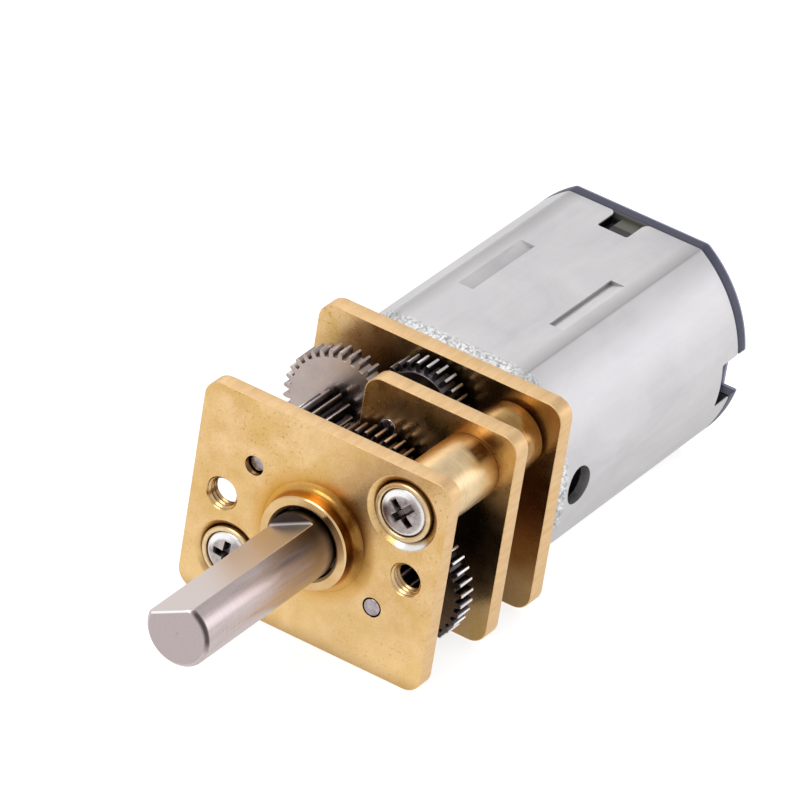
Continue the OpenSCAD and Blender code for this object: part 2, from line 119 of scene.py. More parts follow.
# Gearbox screws as (x, z, size); the lower one and its spacers are a little smaller
SPACER_R = 1.45
LOWER_SIZE = 0.95
SPACERS_LOW, SPACERS_HIGH = box_mm("front_spacers")
SCREWS = [
    (SPACERS_HIGH[0] - SPACER_R, SPACERS_HIGH[2] - SPACER_R, 1.0),
    (SPACERS_LOW[0] + LOWER_SIZE * SPACER_R, SPACERS_LOW[2] + LOWER_SIZE * SPACER_R, LOWER_SIZE),
]
REAR_SPACER_R = box_mm("rear_spacers")[1][0] - SCREWS[0][0]
HEAD_R = box_mm("gearbox_screws")[1][0] - SCREWS[0][0]
RING_R = 1.31
SHANK_R = 0.55
RECESS_TURNS = (43, 2)

# Output shaft, its flat and its running gap
SHAFT_R = mount_dims("output_shaft")["r_mm"]
SEAT_R = 1.25
JOURNAL_R = 0.5
RUN = 0.02
FLAT_DEPTH = 1.0
FLAT_TURN = math.radians(117)
FLAT_END = -1.15

# Gears
IDLER_BORE = 0.52
WHEEL_BORE = 0.552
PINION_BORE = 0.4
PINION_NECK = 0.55
UPPER_TEETH_LOW = 3.7
UPPER_TEETH_GAP = 0.22
GEAR_SHARP = 28.0

# Motor
MOTOR_SCREW_R = 0.7
MOTOR_HEAD_R = 0.9
MOTOR_SCREW_X = box_mm("motor_screws")[1][0] - MOTOR_HEAD_R
BOSS_R = 1.72
SHEET = 0.45
CAN_BEND = 0.7
CAP_RIM = 0.7
LANCE_X = (1.9, 2.62)
LANCE_Y = (13.9, 18.85)
SIDE_HOLE = (span("motor_can")[0] + 1.65, 0.2)
SIDE_HOLE_R = 0.87
SIDE_NOTCH = (-1.2, 0.9)
NOTCH_X = -0.2
HALF_TAG = 0.15
TERMINAL_X = box_mm("terminals")[1][0] - HALF_TAG

# Places of a smear, of painted shade and of painted highlights on the front plate and its screw heads, as
# (x, z) or degrees counterclockwise from +X
SMEAR = (1.75, 2.05)
BUSHING_SHADE_TURN = 26
DISH_GLINT_TURN = -64
HEAD_GLINT_TURN = 124

# ---------------------------------------------------------------- outlines

def circle(radius, centre=AXIS, count=96, clockwise=False):
    """Points of a circle; holes run clockwise so that metal stays on their left."""
    turn = -1 if clockwise else 1
    return [
        (
            centre[0] + radius * math.cos(turn * TAU * i / count),
            centre[1] + radius * math.sin(turn * TAU * i / count),
        )
        for i in range(count)
    ]


def corners_of(points):
    """Each point of a closed outline with the ones before and after it, as vectors."""
    here = [Vector(point) for point in points]
    return zip(here[-1:] + here[:-1], here, here[1:] + here[:1])


def soften(points, radius, steps, sharper):
    """The same closed outline with every corner sharper than an angle rounded."""
    out = []
    for before, here, after in corners_of(points):
        into, away = here - before, after - here
        turn = abs(into.angle_signed(away))
        if turn < math.radians(sharper):
            out.append(tuple(here))
            continue
        reach = min(radius * math.tan(turn / 2), 0.45 * into.length, 0.45 * away.length)
        start = here - into.normalized() * reach
        end = here + away.normalized() * reach
        for k in range(steps + 1):
            t = k / steps
            out.append(tuple(start.lerp(here, t).lerp(here.lerp(end, t), t)))
    return out


def spread(points, step):
    """The same closed outline with long edges cut into short ones."""
    out = []
    for _before, here, after in corners_of(points):
        pieces = max(1, math.ceil((after - here).length / step))
        out += [tuple(here.lerp(after, k / pieces)) for k in range(pieces)]
    return out


def flatted_circle(radius, half_h):
    """A circle cut by two flats, counterclockwise from the right side's foot."""
    arc_steps = 60
    limit = math.asin(half_h / radius)
    right = [
        (radius * math.cos(a), radius * math.sin(a))
        for a in [limit * (2 * i / arc_steps - 1) for i in range(arc_steps + 1)]
    ]
    return right + [(-x, -z) for x, z in right]


def quarter(steps):
    """A quarter arc as shares of its radius: what is left across and gone along."""
    angles = [math.pi / 2 * k / steps for k in range(steps + 1)]
    return [(1 - math.sin(angle), 1 - math.cos(angle)) for angle in angles]

# ---------------------------------------------------------------- meshes

def place(name, data):
    """A new object in the scene."""
    thing = bpy.data.objects.new(name, data)
    bpy.context.scene.collection.objects.link(thing)
    return thing


def make_object(name, verts, faces, face_slots=None):
    """A mesh object in millimetres, with its normals facing out."""
    mesh = bpy.data.meshes.new(name)
    mesh.from_pydata(verts, [], faces)
    if face_slots:
        mesh.polygons.foreach_set("material_index", face_slots)
    work = bmesh.new()
    work.from_mesh(mesh)
    bmesh.ops.remove_doubles(work, verts=work.verts, dist=1e-5)
    bmesh.ops.recalc_face_normals(work, faces=work.faces)
    work.to_mesh(mesh)
    work.free()
    return place(name, mesh)


def inset_ring(points, inset):
    """The outline moved to its left, into the metal, by inset."""
    out = []
    for before, here, after in corners_of(points):
        into, away = (here - before).normalized(), (after - here).normalized()
        left_in, left_away = Vector((-into.y, into.x)), Vector((-away.y, away.x))
        miter = (left_in + left_away) / max(0.3, 1 + left_in.dot(left_away))
        out.append(tuple(here + miter * inset))
    return out


def edge_arc(y, radius, entering):
    """Ring places for one rounded edge at y: (inset, y) pairs."""
    if entering:
        return [(radius * left, y + radius * gone) for left, gone in quarter(3)]
    return [(radius * gone, y - radius * left) for left, gone in quarter(3)]


def wall(y_range, radius):
    """Ring places for a plain wall with both edges rounded."""
    low, high = y_range
    return edge_arc(low, radius, True) + edge_arc(high, radius, False)


def walled(name, loops, wall_slot=0):
    """A solid from closed outlines, each with its ring places from front to back.

    loops is a list of (points, rings) or (points, rings, slot); the first is the
    outside and the rest are holes. The first and last rings of all loops bound the
    front and back faces, which take the first material.
    """
    verts, faces, slots = [], [], []
    caps = ([], [])
    cap_index = ([], [])
    for points, rings, *own_slot in loops:
        slot = own_slot[0] if own_slot else wall_slot
        count = len(points)
        base = len(verts)
        for inset, y in rings:
            ring = inset_ring(points, inset) if abs(inset) > 1e-9 else points
            verts += [(x, y, z) for x, z in ring]
        for r in range(len(rings) - 1):
            a = base + r * count
            b = a + count
            for i in range(count):
                j = (i + 1) % count
                faces.append((a + i, a + j, b + j, b + i))
                slots.append(slot)
        for side, first in ((0, base), (1, base + (len(rings) - 1) * count)):
            caps[side].append([Vector((x, z, 0)) for x, _y, z in verts[first:first + count]])
            cap_index[side].extend(range(first, first + count))
    for side in (0, 1):
        for triangle in tessellate_polygon(caps[side]):
            faces.append(tuple(cap_index[side][k] for k in triangle))
            slots.append(0)
    return make_object(name, verts, faces, slots)


def lathe(name, profile, centre, segments):
    """A solid turned about Y from a closed profile of (radius, y) points."""
    verts, faces, rows = [], [], []
    for radius, y in profile:
        if radius < 1e-6:
            rows.append([len(verts)])
            verts.append((centre[0], y, centre[1]))
            continue
        rows.append(list(range(len(verts), len(verts) + segments)))
        for i in range(segments):
            angle = TAU * i / segments
            verts.append((centre[0] + radius * math.cos(angle), y, centre[1] + radius * math.sin(angle)))
    for r, row in enumerate(rows):
        after = rows[(r + 1) % len(rows)]
        if len(row) == 1 and len(after) == 1:
            continue
        for i in range(segments):
            j = (i + 1) % segments
            if len(row) == 1:
                faces.append((row[0], after[j], after[i]))
            elif len(after) == 1:
                faces.append((row[i], row[j], after[0]))
            else:
                faces.append((row[i], row[j], after[j], after[i]))
    return make_object(name, verts, faces)


def turned_profile(points, radius):
    """A lathe profile with its corners rounded, kept from crossing the axis."""
    return [(max(0.0, r), y) for r, y in soften(points, radius, 3, 20.0)]


def block(low, high):
    """A box used only to cut other pieces."""
    verts = [
        ((low, high)[i][0], (low, high)[j][1], (low, high)[k][2])
        for i in (0, 1) for j in (0, 1) for k in (0, 1)
    ]
    faces = [(0, 1, 3, 2), (4, 6, 7, 5), (0, 4, 5, 1), (2, 3, 7, 6), (0, 2, 6, 4), (1, 5, 7, 3)]
    return make_object("cutter", verts, faces)


def bake(piece):
    """Applies a piece's modifiers to its mesh."""
    graph = bpy.context.evaluated_depsgraph_get()
    mesh = bpy.data.meshes.new_from_object(piece.evaluated_get(graph), depsgraph=graph)
    old = piece.data
    piece.modifiers.clear()
    piece.data = mesh
    bpy.data.meshes.remove(old)
    return piece


def carve(piece, cutter, operation="DIFFERENCE"):
    """Cuts one solid from another, or joins the two."""
    change = piece.modifiers.new("carve", "BOOLEAN")
    change.operation = operation
    change.solver = "EXACT"
    change.object = cutter
    bpy.context.view_layer.update()
    bake(piece)
    bpy.data.objects.remove(cutter)
    return piece


def bevel(piece, width, angle, segments=2):
    """Rounds every edge sharper than an angle."""
    change = piece.modifiers.new("bevel", "BEVEL")
    change.width = width
    change.segments = segments
    change.limit_method = "ANGLE"
    change.angle_limit = math.radians(angle)
    change.use_clamp_overlap = True
    bpy.context.view_layer.update()
    return bake(piece)


def joined(name, pieces):
    """One object made of several."""
    work = bmesh.new()
    for piece in pieces:
        piece.data.transform(piece.matrix_world)
        work.from_mesh(piece.data)
    mesh = bpy.data.meshes.new(name)
    work.to_mesh(mesh)
    work.free()
    for piece in pieces:
        bpy.data.objects.remove(piece)
    return place(name, mesh)


def turned_copy(piece):
    """A copy of a piece turned half round the shaft axis."""
    twin = piece.copy()
    twin.data = piece.data.copy()
    twin.data.transform(Matrix.Rotation(math.pi, 4, "Y"))
    bpy.context.scene.collection.objects.link(twin)
    return twin


def keep_flats_flat(mesh):
    """Keeps flat faces square to Y from being shaded as part of their rounded rims."""
    work = bmesh.new()
    work.from_mesh(mesh)
    for edge in work.edges:
        flats = [abs(face.normal.y) > 0.99999 for face in edge.link_faces]
        if any(flats) and not all(flats):
            edge.smooth = False
    work.to_mesh(mesh)
    work.free()


def finish_piece(piece, node, materials, sharp=32.0):
    """Scales a piece to metres, smooths it, paints it and puts it in a node's place."""
    piece.name = node + "_fine"
    piece.data.name = piece.name
    mesh = piece.data
    mesh.transform(Matrix.Scale(MM, 4))
    mesh.polygons.foreach_set("use_smooth", [True] * len(mesh.polygons))
    mesh.set_sharp_from_angle(angle=math.radians(sharp))
    keep_flats_flat(mesh)
    even = piece.modifiers.new("even", "WEIGHTED_NORMAL")
    even.keep_sharp = True
    even.weight = 80
    for material in materials:
        mesh.materials.append(material)
    body = frame["nodes"][node]["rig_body"]
    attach(piece, body)
    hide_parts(node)
    return piece

# ---------------------------------------------------------------- materials

def linear(hex_colour):
    """An sRGB hex colour as linear RGBA."""
    parts = [int(hex_colour[i:i + 2], 16) / 255 for i in (0, 2, 4)]
    return tuple(c / 12.92 if c <= 0.04045 else ((c + 0.055) / 1.055) ** 2.4 for c in parts) + (1.0,)


class Paint:
    """A Principled material built from small procedural steps."""

    def __init__(self, name, metallic=1.0):
        self.material = bpy.data.materials.new(name)
        self.material.use_nodes = True
        self.tree = self.material.node_tree
        self.shader = self.tree.nodes["Principled BSDF"]
        self.shader.inputs["Metallic"].default_value = metallic
        self.place = self.add("ShaderNodeTexCoord").outputs["Object"]

    def add(self, kind, **values):
        node = self.tree.nodes.new(kind)
        for key, value in values.items():
            setattr(node, key, value)
        return node

    def feed(self, target, value):
        """Sets an input to a number or a hex colour, or links it to an output."""
        if isinstance(value, (float, int)):
            target.default_value = value
        elif isinstance(value, str):
            target.default_value = linear(value)
        else:
            self.tree.links.new(value, target)

    def coords(self, stretch=(1, 1, 1), shift=(0, 0, 0)):
        """Object coordinates in millimetres, stretched along each axis."""
        node = self.add("ShaderNodeMapping")
        node.inputs["Scale"].default_value = [s / MM for s in stretch]
        node.inputs["Location"].default_value = shift
        self.feed(node.inputs["Vector"], self.place)
        return node.outputs["Vector"]

    def noise(self, scale, detail=4.0, roughness=0.55, stretch=(1, 1, 1), distortion=0.0, shift=(0, 0, 0)):
        node = self.add("ShaderNodeTexNoise")
        settings = {"Scale": scale, "Detail": detail, "Roughness": roughness, "Distortion": distortion}
        for name, value in settings.items():
            node.inputs[name].default_value = value
        self.feed(node.inputs["Vector"], self.coords(stretch, shift))
        return node.outputs["Fac"]

    def remap(self, value, low, high, to_low=0.0, to_high=1.0):
        node = self.add("ShaderNodeMapRange")
        for socket, number in enumerate((value, low, high, to_low, to_high)):
            self.feed(node.inputs[socket], number)
        return node.outputs["Result"]

    def ramp(self, value, stops):
        """A colour ramp through (place, hex colour) stops."""
        node = self.add("ShaderNodeValToRGB")
        band = node.color_ramp
        while len(band.elements) < len(stops):
            band.elements.new(0.5)
        for element, (place, colour) in zip(band.elements, stops):
            element.position = place
            element.color = linear(colour)
        self.feed(node.inputs["Fac"], value)
        return node.outputs["Color"]

    def mix(self, factor, a, b):
        node = self.add("ShaderNodeMix", data_type="RGBA")
        for socket, value in ((0, factor), (6, a), (7, b)):
            self.feed(node.inputs[socket], value)
        return node.outputs[2]

    def tones(self, share, first, second, dark, light, ends=(0.35, 0.65)):
        """A colour from dark to light, following two noises mixed by share."""
        return self.ramp(self.mix(share, first, second), list(zip(ends, (dark, light))))

    def layered(self, skin, *layers):
        """Lays (mask, colour) layers over a colour."""
        for mask, colour in layers:
            skin = self.mix(mask, skin, colour)
        return skin

    def math(self, operation, a, b=0.0):
        node = self.add("ShaderNodeMath", operation=operation)
        self.feed(node.inputs[0], a)
        self.feed(node.inputs[1], b)
        return node.outputs[0]

    def both(self, *masks):
        """The product of several masks."""
        out = masks[0]
        for mask in masks[1:]:
            out = self.math("MULTIPLY", out, mask)
        return out

    def band(self, value, start, end, soft):
        """One between two values and nought outside them, with soft shoulders."""
        rise = self.remap(value, start - soft, start + soft)
        return self.both(rise, self.remap(value, end - soft, end + soft, 1.0, 0.0))

    def axis(self, letter):
        """One object coordinate in millimetres."""
        node = self.add("ShaderNodeSeparateXYZ")
        self.feed(node.inputs[0], self.coords())
        return node.outputs[letter]

    def along(self, letter, *bounds):
        """One object coordinate, remapped."""
        return self.remap(self.axis(letter), *bounds)

    def from_middle(self, letter, *bounds):
        """Distance from the middle plane along one axis, remapped."""
        return self.remap(self.math("ABSOLUTE", self.axis(letter)), *bounds)

    def offset(self, letter, place):
        """How far one object coordinate lies past a place."""
        return self.math("SUBTRACT", self.axis(letter), place)

    def radius_from(self, centre):
        """Distance from an axis along Y, in millimetres."""
        dx, dz = self.offset("X", centre[0]), self.offset("Z", centre[1])
        return self.math("SQRT", self.math("ADD", self.both(dx, dx), self.both(dz, dz)))

    def near(self, centre, *bounds):
        """Distance from an axis along Y, remapped."""
        return self.remap(self.radius_from(centre), *bounds)

    def toward(self, centre, degrees):
        """Cosine of the angle from one direction, as seen from an axis along Y."""
        turn = math.radians(degrees)
        across = self.both(self.offset("X", centre[0]), math.cos(turn))
        upward = self.both(self.offset("Z", centre[1]), math.sin(turn))
        return self.math("DIVIDE", self.math("ADD", across, upward), self.radius_from(centre))

    def recess(self, colour, dark, reach, depth=1.0):
        """Paints shade into a colour where other surfaces stand close: painted shade in recesses and between
        parts.
        """
        node = self.add("ShaderNodeAmbientOcclusion", samples=8)
        node.inputs["Distance"].default_value = reach * MM
        open_share = self.remap(node.outputs["AO"], 0.1, 0.85, 1.0 - depth, 1.0)
        return self.mix(open_share, dark, colour)

    def colour(self, value):
        self.feed(self.shader.inputs["Base Color"], value)

    def rough(self, value, low, high, rougher=None):
        """Roughness between two values, following a noise, and raised under a mask."""
        level = self.remap(value, 0.3, 0.7, low, high)
        if rougher is not None:
            level = self.math("ADD", level, self.both(rougher, 0.06))
        self.feed(self.shader.inputs["Roughness"], level)

    def finish(self, skin, rough, relief):
        """Sets colour, roughness and relief, and gives the material."""
        self.colour(skin)
        self.rough(*rough)
        self.bump(*relief)
        return self.material

    def bump(self, height, depth_mm, strength, under=None):
        node = self.add("ShaderNodeBump")
        node.inputs["Strength"].default_value = strength
        node.inputs["Distance"].default_value = depth_mm * MM
        self.feed(node.inputs["Height"], height)
        if under is not None:
            self.feed(node.inputs["Normal"], under)
        self.feed(self.shader.inputs["Normal"], node.outputs["Normal"])
        return node.outputs["Normal"]


def satin(name, light, dark, roughness, grain, depth,
          stretch=(1, 1, 1), blotch=0.8, metallic=1.0, recess_shade=None):
    """A satin metal or plastic: fine grain over soft blotches, with painted shade in its recesses if asked.
    """
    paint = Paint(name, metallic)
    fine = paint.noise(grain, 5.0, 0.65, stretch)
    soft = paint.noise(blotch, 3.0, 0.5, shift=(3.1, 7.7, 1.3))
    skin = paint.tones(0.55, fine, soft, dark, light, (0.36, 0.62))
    if recess_shade:
        skin = paint.recess(skin, *recess_shade)
    paint.finish(skin, (soft, *roughness), (fine, depth, 0.6))
    return paint


def plate_face_material(name="PlateBrass", recess_shade=("5A3814", 1.1, 0.85), shade=None):
    """Rolled brass: mottled and specked, with a golden tint round the bushing where it is pressed in,
    painted shade on the bushing's right and painted shade in recesses.

    shade is the colour of the painted shade that the lower right part takes between two plates.
    Without it, this is the front plate: painted lighter below, smeared, and with a painted highlight at a
    screw's dish.
    """
    paint = Paint(name)
    fine = paint.noise(9.0, 5.0, 0.65)
    soft = paint.noise(1.1, 3.0, 0.5, shift=(3.1, 7.7, 1.3))
    cloud = paint.remap(paint.noise(0.55, 4.0, 0.6, shift=(6, 2, 9)), 0.46, 0.64, 0.0, 0.55)
    specks = paint.remap(paint.noise(6.5, 2.0, 0.5, shift=(8, 8, 1)), 0.6, 0.68, 0.0, 0.5)
    patchy = paint.remap(paint.noise(0.5, 2.0, 0.5, shift=(2, 9, 4)), 0.48, 0.6)
    uneven = paint.remap(soft, 0.38, 0.58, 0.7, 1.0)
    golden_tint = paint.near(AXIS, NOSE_R + 0.35, NOSE_R + 1.1, 0.9, 0.0)
    around = paint.near(AXIS, NOSE_R + 0.3, NOSE_R + 0.95, 1.0, 0.0)
    # Painted shade on the plate at the bushing's right side
    bushing_shade = paint.both(paint.remap(paint.toward(AXIS, BUSHING_SHADE_TURN), 0.45, 0.85), around, uneven)
    skin = paint.layered(
        paint.tones(0.55, fine, soft, "E0B678", "F6D19B", (0.36, 0.62)),
        (cloud, "DDB566"), (paint.both(specks, patchy), "9C7A40"),
        (paint.both(golden_tint, uneven), "D89C3C"), (bushing_shade, "5E3210"),
    )
    dish_highlight = 0.0
    if shade:
        corner = paint.both(
            paint.along("X", 3.2, 4.6), paint.along("Z", 1.2, 2.6, 0.8, 0.0),
            paint.along("Z", -6.5, -0.5),
        )
        skin = paint.mix(corner, skin, shade)
    else:
        # Painted light: the front plate is made paler towards its bottom
        pale = paint.along("Z", -3.5, -1.0, 0.35, 0.0)
        smear = paint.both(paint.near(SMEAR, 0.25, 0.9, 0.3, 0.0), uneven)
        skin = paint.layered(skin, (pale, "FFDC9C"), (smear, "86561E"))
        # A painted highlight on the upper screw's dish
        dish = SCREWS[0][:2]
        dish_highlight = paint.both(
            paint.band(paint.radius_from(dish), 1.38, 1.66, 0.04),
            paint.remap(paint.toward(dish, DISH_GLINT_TURN), 0.84, 0.93),
        )
    return paint.finish(
        paint.mix(dish_highlight, paint.recess(skin, *recess_shade), "FFFFFF"),
        (soft, 0.24, 0.32), (fine, 0.005, 0.6),
    )


def plate_edge_material():
    """The plates' sheared edges, paler and rougher than their faces."""
    paint = Paint("PlateEdge")
    drag = paint.noise(2.2, 5.0, 0.6, (1.6, 0.35, 1.6))
    grit = paint.noise(14.0, 3.0, 0.6, shift=(5, 1, 2))
    return paint.finish(
        paint.tones(0.4, drag, grit, "DFB985", "F2D0A0"),
        (grit, 0.4, 0.58), (drag, 0.012, 0.5, paint.bump(grit, 0.004, 0.5)),
    )


def turned_brass_material(name="TurnedBrass", dark="DDB578", light="F3D2A0", recess_shade=0.75):
    """Lathe-turned brass with close tool lines round the axis, and painted shade in its recesses."""
    paint = Paint(name)
    lines = paint.noise(1.0, 3.0, 0.7, (0.05, 26.0, 0.05))
    soft = paint.noise(1.3, 3.0)
    return paint.finish(
        paint.recess(paint.tones(0.5, lines, soft, dark, light), "3E260E", 1.6, recess_shade),
        (soft, 0.17, 0.27), (lines, 0.0025, 0.4),
    )


def spacer_material():
    """Turned brass, scuffed, with a painted dark reflection on the upper spacer's outer side, a painted
    golden reflection on its upper left, and painted shade towards the middle plate and in recesses.
    """
    paint = Paint("SpacerBrass")
    lines = paint.noise(1.0, 3.0, 0.7, (0.05, 20.0, 0.05))
    scuffs = paint.noise(2.4, 5.0, 0.65, (1.0, 0.5, 1.0), 0.5)
    x, z, _size = SCREWS[0]
    outward = paint.math("DIVIDE", paint.offset("X", x), SPACER_R)
    raised = paint.math("DIVIDE", paint.offset("Z", z), SPACER_R)
    # Painted shade: darker towards the middle plate
    shade_near_plate = paint.along("Y", 4.3, 4.95, 0.0, 0.7)
    # A painted dark reflection on the upper spacer's outer side
    dark_reflection = paint.both(
        paint.band(paint.axis("Y"), 3.95, 5.0, 0.15), paint.band(outward, 0.2, 0.75, 0.12),
        paint.remap(raised, 0.5, 0.75), paint.remap(scuffs, 0.36, 0.56, 0.8, 1.0),
    )
    # A painted golden reflection on the upper spacer's upper left
    golden_tint = paint.both(paint.remap(outward, 0.1, -0.5), paint.remap(raised, 0.3, 0.8, 0.0, 0.7))
    skin = paint.layered(
        paint.tones(0.6, lines, scuffs, "DDBE8C", "F6DEB6", (0.36, 0.64)),
        (shade_near_plate, "B8803A"), (dark_reflection, "5E3812"), (golden_tint, "D69A3A"),
    )
    return paint.finish(
        paint.recess(skin, "3E260E", 1.3, 0.6),
        (scuffs, 0.3, 0.42), (lines, 0.0025, 0.4),
    )


def gear_steel_material(name, centre, tip_radius, face="6E676A", low="4A4446", tips="EFEAEA", recess_shade=0.95):
    """Blackened gear steel whose teeth are worn bright at their tips, with painted shade in its recesses."""
    paint = Paint(name)
    grain = paint.noise(16.0, 4.0, 0.6)
    soft = paint.noise(1.1, 3.0, shift=(2, 5, 8))
    body = paint.recess(paint.tones(0.6, grain, soft, low, face), "0E0A0A", 0.9, recess_shade)
    near_tip = paint.near(centre, tip_radius - 0.07, tip_radius - 0.02)
    worn = paint.both(near_tip, paint.remap(grain, 0.3, 0.55, 0.8, 1.0))
    return paint.finish(paint.mix(worn, body, tips), (soft, 0.24, 0.34), (grain, 0.0015, 0.4))


def shaft_material():
    """Ground shaft steel: a painted dark reflection towards the bushing, bright on the flat, with painted
    shade on one side of the tip's chamfer, a painted highlight along the flat's edge and painted shade in
    recesses.
    """
    paint = Paint("ShaftSteel")
    tip = span("output_shaft")[0]
    grain = paint.noise(1.0, 4.0, 0.6, (9.0, 0.5, 9.0))
    round_lines = paint.noise(1.0, 2.0, 0.6, (0.05, 18.0, 0.05), shift=(4, 4, 4))
    height = paint.math(
        "ADD",
        paint.both(paint.axis("X"), math.cos(FLAT_TURN)),
        paint.both(paint.axis("Z"), math.sin(FLAT_TURN)),
    )
    on_flat = paint.both(
        paint.remap(height, FLAT_DEPTH - 0.02, FLAT_DEPTH - 0.005),
        paint.along("Y", FLAT_END - 0.04, FLAT_END, 1.0, 0.0),
    )
    # A painted dark reflection on the round side towards the bushing
    dark_reflection = paint.both(
        paint.along("Y", -5.5, -1.6, 0.0, 0.9), paint.math("SUBTRACT", 1.0, on_flat),
        paint.remap(height, -1.1, 0.7, 0.25, 1.0),
    )
    # Painted reflection, darker still next to the flat's edge
    beside_flat = paint.both(dark_reflection, paint.remap(height, 0.3, 0.95, 0.0, 0.75))
    # Painted shade on one side of the tip's chamfer
    chamfer = paint.both(
        paint.near(AXIS, SHAFT_R - 0.2, SHAFT_R - 0.12), 0.85,
        paint.along("Y", tip + 0.16, tip + 0.22, 1.0, 0.0),
        paint.along("X", 0.2, 0.7), paint.along("Z", -0.4, 0.2),
    )
    end_face = paint.along("Y", tip + 0.01, tip + 0.04, 0.6, 0.0)
    # A painted highlight along the flat's edge at the tip
    edge_highlight = paint.both(
        paint.remap(height, FLAT_DEPTH - 0.1, FLAT_DEPTH - 0.06),
        paint.along("Y", tip + 0.03, tip + 0.08, 1.0, 0.0),
    )
    skin = paint.layered(
        paint.tones(0.5, grain, round_lines, "BFB0B0", "D6C9C8"),
        (dark_reflection, "544640"), (beside_flat, "2A221E"), (on_flat, "DCD0CA"),
        (chamfer, "2A221E"), (end_face, "B4A6A6"), (edge_highlight, "FFFFFF"),
    )
    return paint.finish(
        paint.recess(skin, "4A3C34", 0.9, 0.7),
        (grain, 0.27, 0.34, on_flat), (grain, 0.0012, 0.35, paint.bump(round_lines, 0.001, 0.3)),
    )


def can_material():
    """Nickel-plated can sheet: soft stains, faint streaks, and a crazed front bend, with painted shade low
    on the sides, beside the flats' edges, on the notches' cut walls and in recesses.
    """
    paint = Paint("CanSteel")
    low, high = span("motor_can")
    stains = paint.noise(0.42, 5.0, 0.6, (1.0, 0.55, 1.0), 0.6)
    streaks = paint.noise(1.0, 3.0, 0.6, (3.0, 0.12, 3.0), shift=(9, 2, 4))
    grain = paint.noise(20.0, 3.0, 0.6)
    crazed = paint.noise(6.0, 5.0, 0.7, (1, 1, 1), 0.4, (1, 3, 5))
    tone = paint.mix(0.18, stains, streaks)
    plain = paint.ramp(tone, [(0.32, "CCCACC"), (0.5, "D6D4D5"), (0.68, "DEDCDD")])
    rough_band = paint.ramp(crazed, [(0.38, "A2A2A4"), (0.5, "DCDCDD"), (0.6, "FCFCFC")])
    bend = paint.along("Y", low + 0.45, low + 0.85, 1.0, 0.0)
    # Painted shade: the lower part of the can is made darker
    shade_below = paint.along("Z", -4.6, 0.5, 0.5, 0.0)
    flat_edge = math.sqrt(HALF_W ** 2 - HALF_H ** 2)
    # A painted shade band just inside the edges of the flats
    shade_beside_edge = paint.both(
        paint.from_middle("X", flat_edge - 0.75, flat_edge - 0.15, 0.0, 0.55),
        paint.from_middle("X", flat_edge, flat_edge + 0.06, 1.0, 0.0),
    )
    # Painted shade: the cut walls of the mouth's top and bottom notches are made near black
    notch = paint.both(
        paint.from_middle("Z", HALF_H - 0.1, HALF_H - 0.04, 1.0, 0.0),
        paint.along("Y", high - 1.66, high - 1.6),
        paint.band(paint.axis("X"), NOTCH_X - 1.18, NOTCH_X + 1.18, 0.03),
    )
    # Painted shade on the lower cut walls of the side notches
    notch_wall_shade = paint.both(
        paint.band(paint.axis("Z"), SIDE_NOTCH[0] - 0.04, SIDE_NOTCH[0] + 0.04, 0.01),
        paint.near(AXIS, HALF_W - 0.06, HALF_W - 0.03, 1.0, 0.0),
        paint.along("Y", high - 1.4, high - 1.35),
    )
    # Where the lanced grooves run, the painted recess shade is much lighter
    groove = paint.both(
        paint.from_middle("Z", HALF_H - 0.6, HALF_H - 0.5),
        paint.along("Y", high - 2.2, high - 2.0, 1.0, 0.0),
    )
    skin = paint.layered(
        plain, (bend, rough_band), (shade_below, "9E9C9E"), (shade_beside_edge, "A3A1A0"),
        (notch, "141316"), (notch_wall_shade, "141316"),
    )
    under = paint.bump(streaks, 0.002, 0.4, paint.bump(grain, 0.002, 0.5))
    return paint.finish(
        paint.recess(skin, paint.mix(groove, "100E10", "A6A4A4"), 0.55, 0.95),
        (stains, 0.44, 0.52, bend), (paint.both(crazed, bend), 0.03, 0.6, under),
    )


def cap_material():
    """Moulded engineering plastic, dark navy, with a fine spark-eroded skin; painted shade makes what lies
    inside the can near black, with a painted olive reflection on the keys in the notches and a painted
    highlight along the rim's bevel.
    """
    paint = Paint("CapPlastic", 0.0)
    mouth = span("motor_can")[1]
    rim_end = mouth + CAP_RIM
    grain = paint.noise(12.0, 4.0, 0.6)
    soft = paint.noise(0.9, 3.0, shift=(1, 1, 6))
    # Painted shade: what lies inside the can is made near black
    inside = paint.along("Y", mouth - 0.04, mouth, 1.0, 0.0)
    # A painted olive reflection on the keys in the notches and on the rim's front face beside them
    key = paint.both(
        paint.band(paint.axis("Y"), mouth - 0.75, mouth + 0.03, 0.02),
        paint.from_middle("Z", HALF_H - 0.4, HALF_H - 0.34),
        paint.band(paint.axis("X"), NOTCH_X - 1.2, NOTCH_X + 1.2, 0.03),
    )
    # A painted highlight along the rim's bevel
    bevel_highlight = paint.both(paint.band(paint.axis("Y"), rim_end - 0.17, rim_end - 0.02, 0.02), 0.85)
    paint.shader.inputs["Specular IOR Level"].default_value = 0.6
    return paint.finish(
        paint.layered(
            paint.tones(0.4, grain, soft, "2B2C3E", "3C3E55"),
            (inside, "0C0C10"), (key, "5C5A52"), (bevel_highlight, "9496B6"),
        ),
        (soft, 0.36, 0.5), (grain, 0.006, 0.5),
    )


